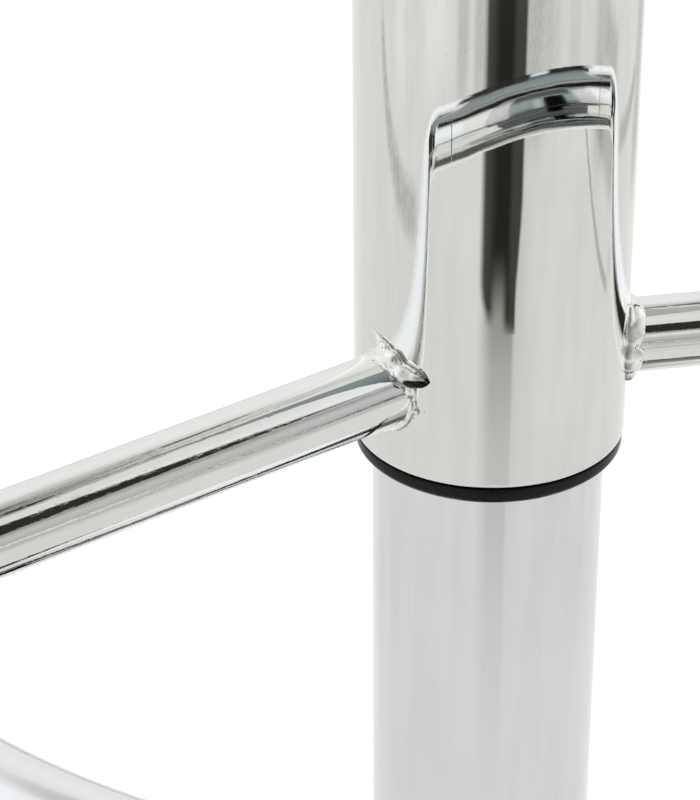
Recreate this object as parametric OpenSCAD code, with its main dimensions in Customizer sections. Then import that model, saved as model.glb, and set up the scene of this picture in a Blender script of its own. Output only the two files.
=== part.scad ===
// Bar stool with a plastic bucket seat on a gas-lift column.
// Origin: centre of the base on the floor. +Z is up and the sitter faces -Y, where the footrest points,
// so -X is the sitter's right. It is drawn with the lift part way up, as it was photographed.

/* [Base] */
// Diameter of the round base
base_d = 400; // [380:5:440]
// Space between the ballast plate's upper edge and the cover over it
cover_gap = 0.8; // [0.4:0.2:5]
// Radius of the gentle dome across the cover
dome_r = 1200; // [1100:50:1800]
// Radius of the rolled rim
rim_r = 7; // [6:0.5:8]
// Radius of the flare that rises to the column
flare_r = 40; // [30:1:50]
// Thickness of the spun cover
cover_t = 1.5; // [1:0.1:1.8]
// Thickness of the ballast plate
ballast_t = 7; // [5:0.5:8]
// Thickness of the flange under the column
flange_t = 5; // [4:0.5:6]
// Diameter of that flange
flange_d = 120; // [112:1:124]
// Bolt circle of the flange
bolt_ring_d = 90; // [86:1:92]

/* [Column] */
// Outer diameter of the fixed lower column
column_d = 50; // [48:0.5:52]
// Wall of the lower column
column_wall = 1.5; // [1:0.1:2]
// Length of the plastic bush that guides the gas cylinder
bush_len = 80; // [60:5:90]

/* [Gas spring] */
// Travel of the seat
stroke = 210; // [190:5:220]
// How far the lift stands above its lowest place here
raised = 148; // [120:1:180]
// Outer diameter of the gas cylinder
cylinder_d = 28; // [26:0.5:29]
// Wall of the gas cylinder
cylinder_wall = 1.5; // [1.2:0.1:2]
// Diameter of the piston rod
rod_d = 10; // [8:0.5:11]

/* [Sleeve] */
// Outer diameter of the sliding sleeve
sleeve_d = 58; // [57:0.5:64]
// Wall of the sleeve
sleeve_wall = 1.5; // [1:0.1:1.8]
// Length of the sleeve
sleeve_len = 385; // [360:5:440]
// Height of its lower end with the seat all the way down
sleeve_low = 142; // [120:1:180]
// How far the glide ring shows below the sleeve
ring_drop = 4.4; // [3:0.1:8]
// How far the glide ring reaches into the sleeve
ring_inside = 20; // [12:1:26]

/* [Footrest] */
// Outer diameter of the footrest tube
tube_d = 16; // [14:0.5:20]
// Wall of the footrest tube
tube_wall = 1.5; // [1:0.1:2]
// Height of the tube's centre above the sleeve's lower end
footrest_rise = 18; // [14:0.5:40]
// Angle by which each arm points forward of straight sideways
arm_sweep = 13.6; // [8:0.2:18]
// Radius of the square bend at each corner
bend_r = 25.2; // [22:0.4:28]
// Radius of the curved front bar
front_r = 158.2; // [150:0.2:170]
// Distance from the column's axis to the centre of that curve
front_centre = 27.2; // [22:0.2:34]
// Place of the butt seams along the curve
seam_angle = 24.6; // [20:0.2:35]
// Lean of the footrest: its right side is welded slightly higher
footrest_lean = 1; // [0:0.25:2]
// Size of the weld bead beyond the tube
bead = 3; // [2:0.25:4]

/* [Seat] */
// Radius of the seat's flat middle
seat_flat_r = 58; // [52:1:66]
// Radius of the curve from the middle up the walls
bowl_r = 180; // [176:1:190]
// Thickness of the moulded shell
shell_t = 4.5; // [3.5:0.1:5]
// Height of the rim at the front
rim_front = 28; // [22:1:34]
// Height of the rim at the back
rim_back = 172; // [150:1:174]
// Radius of the sweep from the front rim up to the sides, seen from the side
sweep_r = 400; // [380:10:440]
// Radius of the back's arched top, seen from the front
arch_r = 260; // [240:5:300]
// Width of the stiffened rim band
rim_band = 9; // [6:0.5:12]
// How far the rim band stands out
rim_out = 2.5; // [1:0.25:3.5]
// Height of the ribs under the shell
rib_h = 9; // [8:0.5:12]
// Thickness of the ribs
rib_t = 2.5; // [2:0.1:3]

/* [Seat plate] */
// Length of the pressed plate, side to side
plate_x = 170; // [160:1:180]
// Width of the pressed plate, front to back
plate_y = 140; // [132:1:150]
// Sheet thickness of the plate
plate_t = 2.5; // [2:0.1:3]
// Depth of its pressed pan
pan_h = 37; // [35:1:42]
// Spacing of the seat bolts, side to side
bolt_x = 120; // [118:1:124]
// Spacing of the seat bolts, front to back
bolt_y = 110; // [108:1:112]

/* [Lever] */
// Diameter of the lever rod
lever_d = 8; // [7:0.5:9]
// Distance from the valve pin to the lever's pivot
lever_arm = 25; // [25:0.5:30]
// Reach of the lever's straight part
lever_reach = 150; // [130:5:165]
// Downward bend of the lever's end
lever_bend = 20; // [10:1:30]
// Length of the grip
grip_len = 58; // [45:1:70]

/* [Hidden] */
$fn = 96;

// Clearances: a running fit, a pressed or bonded fit, and a joint face
run = 0.07;
snug = 0.03;
face_gap = 0.1;
// Overrun of a cutting shape past the face it cuts
past = 1;
// Swell of a bent bar at the ends of its bend, and the lap of the bend under it
swell = 0.05;
lap = 0.3;

// Base heights and radii
base_r = base_d / 2;
cover_z = 3;
floor_ring_w = 42;
ballast_z = 8;
ballast_top = ballast_z + ballast_t;
ballast_r = base_r - 26;
ballast_bore = 16;
flange_top = ballast_top + flange_t;
collar_r = column_r() + 6;
collar_skirt = 12;
collar_lip = 2.6;
collar_over = 1.5;
collar_chamfer = 1.2;
dome_cz = ballast_top - sqrt(pow(dome_r - cover_t - cover_gap, 2) - pow(ballast_r, 2));
rim_cr = base_r - rim_r;
rim_cz = dome_cz + sqrt(pow(dome_r - rim_r, 2) - pow(rim_cr, 2));
flare_cr = collar_r + flare_r;
flare_cz = dome_cz + sqrt(pow(dome_r + flare_r, 2) - pow(flare_cr, 2));
collar_h = 4;
cover_top = flare_cz + collar_h;

// Base fasteners: metric, eight millimetres
m8_r = 4;
m8_head_r = 7.5;
m8_head_h = 5.3;
m8_washer_r = 8;
m8_washer_t = 1.4;
m8_nut_h = 4.8;
m8_end = 1.2;

// Bearing, buffer and clip on the rod's lower end
neck_r = rod_d / 2 - 1;
race_r = 13;
race_t = 2;
cage_t = 3;
ball_r = 1.42;
ball_ring = 8.6;
ball_count = 10;
rod_z = flange_top + 2 * race_t + cage_t;
buffer_h = 19;
buffer_r = 12;
rod_end_z = 9;
clip_t = 1;
clip_r = 7.5;
clip_groove = 0.8;
rod_washer_t = 1.2;

// Lift: the gas cylinder stands on the rod, and the sleeve hangs from the cylinder
cylinder_r = cylinder_d / 2;
bore_r = cylinder_r - cylinder_wall;
rod_shown = 4;
cylinder_low = rod_z + buffer_h + rod_shown;
cylinder_z = cylinder_low + raised;
guide_h = 25;
piston_h = 12;
piston_z = cylinder_low + stroke + guide_h + 3;
engaged = 60;
column_top = cylinder_low + stroke + engaged + bush_len;
bush_rim = 3;
function column_r() = column_d / 2;
sleeve_r = sleeve_d / 2;
sleeve_z = sleeve_low + raised;
sleeve_top = sleeve_z + sleeve_len;
cap_t = 4;
cap_plug = 12;
socket_z = sleeve_top + cap_t;
socket_h = 37;
socket_wall = 5;
socket_top = socket_z + socket_h;
taper = 0.0246;
valve_r = 3;
valve_depth = 20;
head_h = 26;
valve_out = 6;
valve_in = 16;

// Glide ring
ring_groove = 0.7;
ring_groove_in = 1.4;
ring_lip_in = 0.3;
ring_chamfer = 1.2;

// Footrest: the front curve's centre is the origin that both arms are drawn from, and each arm's
// line runs one bend radius behind it, so the bend is square and meets the curve smoothly
tube_r = tube_d / 2;
footrest_z = sleeve_z + footrest_rise;
arm_len = front_r - bend_r;
axis_back = front_centre * sin(arm_sweep);
spigot_half = 5;
bead_len = 5.5;

// Seat heights and the outline that trims the bowl, seen from the side
pan_z = socket_top - 9;
plate_top = pan_z + pan_h;
shell_z = plate_top + rib_h;
sweep_y = -140;
sweep_z = rim_front + sweep_r;
trim_reach = 2 * (bowl_r + rim_out);
rib_count = 8;
rib_from = 14;
rib_ring_r = 90;
rib_slope_r = 150;
rib_slope_z = 20;
boss_r = 7.5;
rib_short = 0.6;
ring_short = 1.2;

// Seat plate
pan_x = 100;
pan_y = 84;
pan_corner = 9;
plate_corner = 15;
slot_w = 11;
slot_h = 16;
m6_r = 3;
m6_head_r = 5.75;
m6_head_h = 4;
m6_washer_r = 6;
m6_washer_t = 1.2;
insert_r = 4;
insert_h = rib_h - 0.6;

// Lever: a round nose on the rod stands just over the valve pin
lever_r = lever_d / 2;
nose_r = lever_r + 1;
valve_top = socket_top + valve_out;
lever_z = valve_top + 0.2 + nose_r;
hub_r = 6.5;
hub_w = 10;
pin_r = 2.5;
ear_t = 2.5;
ear_w = 11;
pin_head_r = 4;
pin_head_t = 1.5;
lever_bend_r = 24;
grip_r = 7;
grip_start = 14;
lever_end = 50;

// Tube along the Z axis
module tube(r, wall, h) {
    difference() {
        cylinder(h = h, r = r);
        translate([0, 0, -past])
            cylinder(h = h + 2 * past, r = r - wall);
    }
}

// Rectangle with round corners, centred
module round_plate(x, y, corner, h) {
    for (sx = [-1, 1], sy = [-1, 1])
        translate([sx * (x / 2 - corner), sy * (y / 2 - corner), 0])
            cylinder(h = h, r = corner);
    translate([-x / 2 + corner, -y / 2, 0])
        cube([x - 2 * corner, y, h]);
    translate([-x / 2, -y / 2 + corner, 0])
        cube([x, y - 2 * corner, h]);
}

// Four places on a bolt circle
module around(pcd) {
    for (i = [0:3])
        rotate([0, 0, 45 + 90 * i])
            translate([pcd / 2, 0, 0])
                children();
}

// Four places on the seat's bolt rectangle
module seat_corners() {
    for (sx = [-1, 1], sy = [-1, 1])
        translate([sx * bolt_x / 2, sy * bolt_y / 2, 0])
            children();
}

// Half section of the base cover: rolled rim, dome, and flare up to the collar
module cover_section(inset) {
    dome_edge = (dome_r - inset) * rim_cr / (dome_r - rim_r);
    flare_edge = (dome_r - inset) * flare_cr / (dome_r + flare_r);
    difference() {
        union() {
            intersection() {
                translate([0, dome_cz])
                    circle(dome_r - inset, $fn = 720);
                square([dome_edge, dome_cz + dome_r]);
            }
            translate([rim_cr, rim_cz])
                circle(rim_r - inset);
            square([base_r - inset, rim_cz]);
            square([flare_edge, flare_cz]);
            square([collar_r - inset, cover_top + inset]);
        }
        translate([flare_cr, flare_cz])
            circle(flare_r + inset);
    }
}

module base_cover() {
    color("gainsboro")
        rotate_extrude($fn = 128)
            difference() {
                intersection() {
                    cover_section(0);
                    translate([0, cover_z])
                        square([base_r, cover_top - cover_z]);
                }
                cover_section(cover_t);
            }
}

// Rubber ring on the floor, with a shelf that carries the ballast plate
module floor_ring() {
    inner = base_r - floor_ring_w;
    wall_in = base_r - cover_t - 1;
    color("dimgray")
        rotate_extrude($fn = 128)
            polygon([
                [inner, 0.8], [inner + 0.8, 0],
                [base_r - 1.5, 0], [base_r - 0.3, 1.2],
                [base_r - 0.3, cover_z], [wall_in, cover_z],
                [wall_in, ballast_z - 2], [ballast_r + 0.5, ballast_z - 2],
                [ballast_r + 0.5, ballast_z], [inner, ballast_z]
            ]);
}

module ballast_plate() {
    color("darkslategray")
        difference() {
            translate([0, 0, ballast_z])
                cylinder(h = ballast_t, r = ballast_r);
            translate([0, 0, ballast_z - past])
                cylinder(h = ballast_t + 2 * past, r = ballast_bore);
            around(bolt_ring_d)
                translate([0, 0, ballast_z - past])
                    cylinder(h = ballast_t + 2 * past, r = m8_r + 0.5);
        }
}

module column_flange() {
    color("slategray")
        difference() {
            translate([0, 0, ballast_top])
                cylinder(h = flange_t, r = flange_d / 2);
            translate([0, 0, ballast_top - past])
                cylinder(h = flange_t + 2 * past, r = neck_r + run);
            around(bolt_ring_d)
                translate([0, 0, ballast_top - past])
                    cylinder(h = flange_t + 2 * past, r = m8_r + 0.4);
        }
}

module flange_bolts() {
    length = ballast_t + flange_t + m8_washer_t + m8_nut_h + m8_end;
    color("silver")
        around(bolt_ring_d) {
            translate([0, 0, ballast_z - m8_head_h])
                cylinder(h = m8_head_h, r = m8_head_r, $fn = 6);
            translate([0, 0, ballast_z - 0.5])
                cylinder(h = length + 0.5, r = m8_r);
        }
}

module flange_washers() {
    color("lightgray")
        around(bolt_ring_d)
            translate([0, 0, flange_top])
                tube(m8_washer_r, m8_washer_r - m8_r - 0.2, m8_washer_t);
}

module flange_nuts() {
    color("silver")
        around(bolt_ring_d)
            translate([0, 0, flange_top + m8_washer_t])
                difference() {
                    cylinder(h = m8_nut_h, r = m8_head_r, $fn = 6);
                    translate([0, 0, -past])
                        cylinder(h = m8_nut_h + 2 * past, r = m8_r + snug);
                }
}

module lower_column() {
    color("whitesmoke")
        translate([0, 0, flange_top])
            tube(column_r(), column_wall, column_top - flange_top);
}

// Plastic ring that closes the cover's collar around the column
module column_collar() {
    color("black")
        rotate_extrude()
            polygon([
                [column_r() + snug, cover_top - collar_skirt],
                [collar_r - cover_t - snug, cover_top - collar_skirt],
                [collar_r - cover_t - snug, cover_top],
                [collar_r + collar_over, cover_top],
                [collar_r + collar_over, cover_top + collar_lip - collar_chamfer],
                [collar_r + collar_over - collar_chamfer, cover_top + collar_lip],
                [column_r() + snug, cover_top + collar_lip]
            ]);
}

// Plastic bush with a rim that rests on the column's end
module guide_bush() {
    color("ivory")
        translate([0, 0, column_top - bush_len])
            difference() {
                union() {
                    cylinder(h = bush_len, r = column_r() - column_wall - snug);
                    translate([0, 0, bush_len])
                        cylinder(h = bush_rim, r = column_r() - 0.4);
                }
                translate([0, 0, -past])
                    cylinder(h = bush_len + bush_rim + 2 * past, r = cylinder_r + run);
            }
}

module bearing_lower_race() {
    color("silver")
        translate([0, 0, flange_top])
            tube(race_r, race_r - neck_r - 0.4, race_t);
}

// Cage with its ring of balls
module bearing_cage() {
    middle = flange_top + race_t + cage_t / 2;
    color("goldenrod") {
        translate([0, 0, middle - 1])
            difference() {
                cylinder(h = 2, r = race_r - 1);
                translate([0, 0, -past])
                    cylinder(h = 2 + 2 * past, r = neck_r + 1.2);
            }
        for (i = [0:ball_count - 1])
            rotate([0, 0, 360 / ball_count * i])
                translate([ball_ring, 0, middle])
                    sphere(r = ball_r, $fn = 24);
    }
}

module bearing_upper_race() {
    color("silver")
        translate([0, 0, rod_z - race_t])
            tube(race_r, race_r - neck_r - snug, race_t);
}

module rubber_buffer() {
    color("dimgray")
        translate([0, 0, rod_z])
            difference() {
                cylinder(h = buffer_h, r = buffer_r);
                translate([0, 0, -past])
                    cylinder(h = buffer_h + 2 * past, r = rod_d / 2 + snug);
                translate([0, 0, buffer_h / 2])
                    rotate_extrude()
                        translate([buffer_r + 1, 0])
                            circle(3);
            }
}

// Rod on its shouldered neck, grooved for the clip
module piston_rod() {
    color("lightgray")
        difference() {
            union() {
                translate([0, 0, rod_z])
                    cylinder(h = piston_z - rod_z, r = rod_d / 2);
                translate([0, 0, rod_end_z])
                    cylinder(h = rod_z - rod_end_z + past, r = neck_r);
            }
            translate([0, 0, clip_z()])
                tube(neck_r + past, past + clip_groove, clip_t);
        }
}

function clip_z() = ballast_top - face_gap - rod_washer_t - clip_t;

module piston() {
    color("slategray")
        translate([0, 0, piston_z])
            difference() {
                cylinder(h = piston_h, r = bore_r - run);
                translate([0, 0, piston_h / 2])
                    rotate_extrude()
                        translate([bore_r, 0])
                            circle(1.6);
            }
}

module rod_washer() {
    color("lightgray")
        translate([0, 0, ballast_top - face_gap - rod_washer_t])
            tube(clip_r, clip_r - neck_r - snug, rod_washer_t);
}

// Open spring clip in the rod's groove
module rod_clip() {
    color("silver")
        difference() {
            translate([0, 0, clip_z()])
                tube(clip_r - 0.6, clip_r - 0.6 - neck_r + clip_groove - snug, clip_t);
            translate([0, -neck_r / 2, clip_z() - past])
                cube([clip_r + past, neck_r, clip_t + 2 * past]);
        }
}

// Pressure tube with a tapered head and a bore for the valve pin
module gas_cylinder() {
    head_z = socket_top - head_h;
    color("darkgray")
        difference() {
            union() {
                translate([0, 0, cylinder_z])
                    cylinder(h = socket_z - cylinder_z, r = cylinder_r);
                translate([0, 0, socket_z])
                    cylinder(h = socket_h, r1 = cylinder_r, r2 = cylinder_r - taper * socket_h);
            }
            translate([0, 0, cylinder_z - past])
                cylinder(h = head_z - cylinder_z + past, r = bore_r);
            translate([0, 0, socket_top - valve_depth])
                cylinder(h = valve_depth + past, r = valve_r + run);
        }
}

module rod_guide() {
    color("ivory")
        translate([0, 0, cylinder_z])
            tube(bore_r - snug, bore_r - snug - rod_d / 2 - run, guide_h);
}

module valve_pin() {
    color("gold")
        translate([0, 0, socket_top - valve_in]) {
            cylinder(h = valve_in + valve_out - 1, r = valve_r);
            translate([0, 0, valve_in + valve_out - 1])
                cylinder(h = 1, r1 = valve_r, r2 = valve_r - 0.8);
        }
}

module sleeve() {
    color("gainsboro")
        translate([0, 0, sleeve_z])
            tube(sleeve_r, sleeve_wall, sleeve_len);
}

// Turned cap that closes the sleeve's top around the gas cylinder
module sleeve_cap() {
    color("lightgray")
        difference() {
            union() {
                translate([0, 0, sleeve_top - cap_plug])
                    cylinder(h = cap_plug + past, r = sleeve_r - sleeve_wall - snug);
                translate([0, 0, sleeve_top])
                    cylinder(h = cap_t - 1, r = sleeve_r);
                translate([0, 0, sleeve_top + cap_t - 1])
                    cylinder(h = 1, r1 = sleeve_r, r2 = sleeve_r - 1);
            }
            translate([0, 0, sleeve_top - cap_plug - past])
                cylinder(h = cap_plug + cap_t + 2 * past, r = cylinder_r + snug);
        }
}

// Plastic ring at the sleeve's end: a sliding collar with a groove above its chamfered lip
module glide_ring() {
    lip_r = sleeve_r - ring_lip_in;
    inner_r = column_r() + run;
    color("black")
        translate([0, 0, sleeve_z])
            rotate_extrude()
                polygon([
                    [inner_r + 0.6, -ring_drop],
                    [lip_r - ring_chamfer, -ring_drop],
                    [lip_r, -ring_drop + ring_chamfer],
                    [lip_r, -ring_groove],
                    [sleeve_r - ring_groove_in, -ring_groove],
                    [sleeve_r - ring_groove_in, 0],
                    [sleeve_r - sleeve_wall - snug, 0],
                    [sleeve_r - sleeve_wall - snug, ring_inside],
                    [inner_r + 0.6, ring_inside],
                    [inner_r, ring_inside - 0.6],
                    [inner_r, -ring_drop + 0.6]
                ]);
}

// Places what is drawn in the footrest's plan: x sideways, y forward
module footrest_plan() {
    translate([0, 0, footrest_z])
        rotate([0, -footrest_lean, 0])
            mirror([0, 1, 0])
                children();
}

// Round bar along the front curve between two angles
module curve_bar(r, from, to) {
    translate([0, front_centre, 0])
        rotate([0, 0, from])
            rotate_extrude(angle = to - from)
                translate([front_r, 0])
                    circle(r, $fn = 48);
}

// Places what is drawn from the front curve's centre, with x along one arm
module arm_frame() {
    translate([0, front_centre, 0])
        rotate([0, 0, arm_sweep])
            children();
}

// Round bar along one arm: straight out of the column, round the bend, on to the curve's given angle
module arm_bar(r, to) {
    arm_frame() {
        translate([0, -bend_r, 0])
            rotate([0, 90, 0])
                cylinder(h = arm_len, r = r, $fn = 48);
        translate([arm_len, 0, 0])
            rotate([0, 0, -90])
                rotate_extrude(angle = 90)
                    translate([bend_r, 0])
                        circle(r, $fn = 48);
        rotate_extrude(angle = to - arm_sweep)
            translate([front_r, 0])
                circle(r, $fn = 48);
    }
}

// Space of the sleeve, for coping what is welded to it
module sleeve_space(gap) {
    reach = 5 * tube_r;
    translate([0, 0, footrest_z - reach])
        cylinder(h = 2 * reach, r = sleeve_r + gap);
}

module footrest_arm() {
    difference() {
        arm_bar(tube_r, seam_angle);
        arm_bar(tube_r - tube_wall, seam_angle + 1);
    }
}

module footrest_arm_left() {
    color("gainsboro")
        difference() {
            footrest_plan()
                mirror([1, 0, 0])
                    footrest_arm();
            sleeve_space(snug);
        }
}

module footrest_arm_right() {
    color("gainsboro")
        difference() {
            footrest_plan()
                footrest_arm();
            sleeve_space(snug);
        }
}

module foot_bar() {
    color("whitesmoke")
        footrest_plan()
            difference() {
                curve_bar(tube_r, seam_angle, 180 - seam_angle);
                curve_bar(tube_r - tube_wall, seam_angle - 1, 180 - seam_angle + 1);
            }
}

// Plugs inside the tube that line up the two butt seams
module bar_spigots() {
    color("gray")
        footrest_plan()
            for (middle = [seam_angle, 180 - seam_angle])
                curve_bar(tube_r - tube_wall - snug, middle - spigot_half, middle + spigot_half);
}

// Fillet of weld metal around an arm's coped end
module weld_bead() {
    arm_frame()
        translate([sleeve_r - axis_back, -bend_r, 0])
            rotate([0, 90, 0])
                difference() {
                    translate([0, 0, -bead_len])
                        cylinder(h = 2 * bead_len, r1 = tube_r + 2 * bead, r2 = tube_r + 0.3, $fn = 48);
                    translate([0, 0, -bead_len - past])
                        cylinder(h = 2 * (bead_len + past), r = tube_r + snug, $fn = 48);
                }
}

module weld_left() {
    color("peru")
        difference() {
            footrest_plan()
                mirror([1, 0, 0])
                    weld_bead();
            sleeve_space(snug);
        }
}

module weld_right() {
    color("peru")
        difference() {
            footrest_plan()
                weld_bead();
            sleeve_space(snug);
        }
}

// Tapered socket that is welded through the floor of the seat plate's pan
module taper_socket() {
    outer = cylinder_r + socket_wall;
    color("slategray")
        translate([0, 0, socket_z])
            difference() {
                cylinder(h = socket_h, r = outer);
                translate([0, 0, -taper * past])
                    cylinder(h = socket_h + taper * past, r1 = cylinder_r + snug,
                        r2 = cylinder_r + snug - taper * socket_h);
                translate([0, 0, socket_h - 0.5])
                    cylinder(h = past, r = cylinder_r + snug - taper * (socket_h - 0.5));
            }
}

// Pressed plate: a flange under the seat and a pan that holds the lever's inner end
module seat_pan() {
    color("dimgray")
        difference() {
            union() {
                translate([0, 0, plate_top - plate_t])
                    round_plate(plate_x, plate_y, plate_corner, plate_t);
                translate([0, 0, pan_z])
                    round_plate(pan_x, pan_y, pan_corner, pan_h - plate_t / 2);
            }
            translate([0, 0, pan_z + plate_t])
                round_plate(pan_x - 2 * plate_t, pan_y - 2 * plate_t, pan_corner - plate_t, pan_h);
            translate([0, 0, pan_z - past])
                cylinder(h = plate_t + 2 * past, r = cylinder_r + socket_wall + snug);
            lever_side()
                translate([pan_x / 2 - plate_t - past, -slot_w / 2, lever_z - slot_h / 2 + 1])
                    cube([plate_t + 2 * past, slot_w, slot_h]);
            seat_corners()
                translate([0, 0, plate_top - plate_t - past])
                    cylinder(h = plate_t + 2 * past, r = m6_r + 0.4);
        }
}

// Turns what is drawn towards +X to the sitter's right, where the lever is
module lever_side() {
    mirror([1, 0, 0])
        children();
}

// Two ears that carry the lever's pin, joined by a foot on the pan's floor
module lever_bracket() {
    ear_y = hub_w / 2 + 0.3;
    foot_z = pan_z + plate_t;
    color("slategray")
        lever_side()
            difference() {
                union() {
                    for (s = [-1, 1])
                        translate([lever_arm, s * (ear_y + ear_t / 2), 0]) {
                            translate([-ear_w / 2, -ear_t / 2, foot_z])
                                cube([ear_w, ear_t, lever_z - foot_z]);
                            translate([0, ear_t / 2, lever_z])
                                rotate([90, 0, 0])
                                    cylinder(h = ear_t, r = ear_w / 2);
                        }
                    translate([lever_arm - ear_w / 2, -ear_y - ear_t, foot_z])
                        cube([ear_w, 2 * (ear_y + ear_t), ear_t]);
                }
                translate([lever_arm, ear_y + ear_t + past, lever_z])
                    rotate([90, 0, 0])
                        cylinder(h = 2 * (ear_y + ear_t + past), r = pin_r + snug);
                translate([0, 0, foot_z - past])
                    cylinder(h = ear_t + 2 * past, r = cylinder_r + socket_wall + face_gap);
            }
}

module lever_pin() {
    reach = hub_w / 2 + 0.3 + ear_t;
    color("silver")
        lever_side()
            translate([lever_arm, 0, lever_z])
                rotate([90, 0, 0]) {
                    translate([0, 0, -reach - 1])
                        cylinder(h = 2 * reach + 1.5, r = pin_r);
                    translate([0, 0, reach])
                        cylinder(h = pin_head_t, r = pin_head_r);
                }
}

module seat_bolts() {
    head_z = plate_top - plate_t - m6_washer_t - m6_head_h;
    color("silver")
        seat_corners() {
            translate([0, 0, head_z])
                cylinder(h = m6_head_h, r = m6_head_r, $fn = 6);
            translate([0, 0, head_z + m6_head_h - 0.5])
                cylinder(h = 0.5 + m6_washer_t + plate_t + insert_h - 1, r = m6_r);
        }
}

module seat_washers() {
    color("lightgray")
        seat_corners()
            translate([0, 0, plate_top - plate_t - m6_washer_t])
                tube(m6_washer_r, m6_washer_r - m6_r - 0.2, m6_washer_t);
}

// Brass inserts moulded into the shell's bosses
module thread_inserts() {
    color("gold")
        seat_corners()
            translate([0, 0, plate_top])
                difference() {
                    cylinder(h = insert_h, r = insert_r);
                    translate([0, 0, -past])
                        cylinder(h = insert_h - 1 + past, r = m6_r + snug);
                }
}

// Bowl filled to its brim, drawn in from its outer face
module bowl(inset) {
    rotate_extrude($fn = 128) {
        translate([0, inset])
            square([seat_flat_r, bowl_r - inset]);
        intersection() {
            translate([seat_flat_r, bowl_r])
                circle(bowl_r - inset, $fn = 180);
            translate([0, inset])
                square([seat_flat_r + bowl_r + past - inset, bowl_r - inset]);
        }
    }
}

// Space the bowl is trimmed to: a sweep seen from the side, and an arched back seen from the front
module rim_space(inset) {
    intersection() {
        translate([-trim_reach, 0, 0])
            rotate([90, 0, 90])
                linear_extrude(2 * trim_reach)
                    difference() {
                        translate([-trim_reach, -trim_reach])
                            square([2 * trim_reach, trim_reach + sweep_z]);
                        translate([sweep_y, sweep_z])
                            circle(sweep_r + inset, $fn = 360);
                    }
        translate([0, trim_reach, rim_back - arch_r])
            rotate([90, 0, 0])
                cylinder(h = 2 * trim_reach, r = arch_r - inset, $fn = 360);
    }
}

// Ribs, rings and bosses under the shell, drawn up into its thickness; the shell rests on its bosses alone
module seat_ribs() {
    rib_low = rib_short - rib_h;
    ring_low = ring_short - rib_h;
    for (i = [0:rib_count - 1])
        rotate([0, 0, 360 / rib_count * i])
            translate([0, rib_t / 2, 0])
                rotate([90, 0, 0])
                    linear_extrude(rib_t)
                        polygon([
                            [rib_from + rib_t / 2, rib_low],
                            [rib_ring_r + rib_t, rib_low],
                            [rib_slope_r, rib_slope_z],
                            [rib_slope_r, 2 * rib_slope_z],
                            [rib_from + rib_t / 2, 2 * rib_slope_z]
                        ]);
    for (r = [rib_from + rib_t, rib_ring_r])
        translate([0, 0, ring_low])
            tube(r, rib_t, 4 - ring_low);
    seat_corners()
        translate([0, 0, -rib_h])
            cylinder(h = rib_h + 3.5, r = boss_r);
}

// Moulded bucket shell with ribs below and a stiffened band along its trimmed rim
module seat_shell() {
    color("white")
        translate([0, 0, shell_z])
            difference() {
                intersection() {
                    union() {
                        bowl(0);
                        difference() {
                            bowl(-rim_out);
                            rim_space(rim_band);
                        }
                        seat_ribs();
                    }
                    rim_space(0);
                }
                bowl(shell_t);
                seat_corners()
                    translate([0, 0, -rib_h - past])
                        cylinder(h = rib_h + past, r = insert_r + snug);
            }
}

// Slight swell of a round bar where a bend starts or ends
module swell_at(r) {
    sphere(r = r + swell, $fn = 48);
}

// Bent rod with a round nose over the valve pin and a bored hub on the pivot
module lever_rod() {
    bend_lap = lap / lever_bend_r * 180 / PI;
    color("silver")
        lever_side()
            difference() {
                union() {
                    translate([0, hub_w / 2 - 1, lever_z])
                        rotate([90, 0, 0])
                            cylinder(h = hub_w - 2, r = nose_r);
                    translate([0, 0, lever_z])
                        rotate([0, 90, 0])
                            cylinder(h = lever_reach + lap, r = lever_r, $fn = 48);
                    translate([lever_arm, hub_w / 2, lever_z])
                        rotate([90, 0, 0])
                            cylinder(h = hub_w, r = hub_r);
                    translate([lever_reach, 0, lever_z])
                        swell_at(lever_r);
                    translate([lever_reach, 0, lever_z - lever_bend_r])
                        rotate([90, 0, 0])
                            rotate([0, 0, 90 - lever_bend - bend_lap])
                                rotate_extrude(angle = lever_bend + 2 * bend_lap)
                                    translate([lever_bend_r, 0])
                                        circle(lever_r, $fn = 48);
                    lever_tip() {
                        swell_at(lever_r);
                        translate([0, 0, -lap])
                            cylinder(h = lever_end + lap, r = lever_r, $fn = 48);
                    }
                }
                translate([lever_arm, hub_w / 2 + past, lever_z])
                    rotate([90, 0, 0])
                        cylinder(h = hub_w + 2 * past, r = pin_r + run);
            }
}

// Places what is drawn along Z onto the lever's bent end
module lever_tip() {
    translate([
        lever_reach + lever_bend_r * sin(lever_bend),
        0,
        lever_z - lever_bend_r * (1 - cos(lever_bend))
    ])
        rotate([0, 90 + lever_bend, 0])
            children();
}

module lever_grip() {
    color("black")
        lever_side()
            lever_tip()
                difference() {
                    union() {
                        translate([0, 0, grip_start])
                            cylinder(h = grip_len - grip_r, r1 = grip_r - 1.5, r2 = grip_r);
                        translate([0, 0, grip_start + grip_len - grip_r])
                            sphere(r = grip_r);
                    }
                    translate([0, 0, grip_start - past])
                        cylinder(h = lever_end - grip_start + past + face_gap, r = lever_r + snug,
                            $fn = 48);
                }
}

base_cover();
floor_ring();
ballast_plate();
column_flange();
flange_bolts();
flange_washers();
flange_nuts();
lower_column();
column_collar();
guide_bush();
bearing_lower_race();
bearing_cage();
bearing_upper_race();
rubber_buffer();
piston_rod();
piston();
rod_washer();
rod_clip();
gas_cylinder();
rod_guide();
valve_pin();
sleeve();
sleeve_cap();
glide_ring();
footrest_arm_left();
footrest_arm_right();
foot_bar();
bar_spigots();
weld_left();
weld_right();
taper_socket();
seat_pan();
lever_bracket();
lever_pin();
seat_bolts();
seat_washers();
thread_inserts();
seat_shell();
lever_rod();
lever_grip();
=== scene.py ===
import math

import bmesh
import bpy
from mathutils import Matrix, Vector, noise


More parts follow.
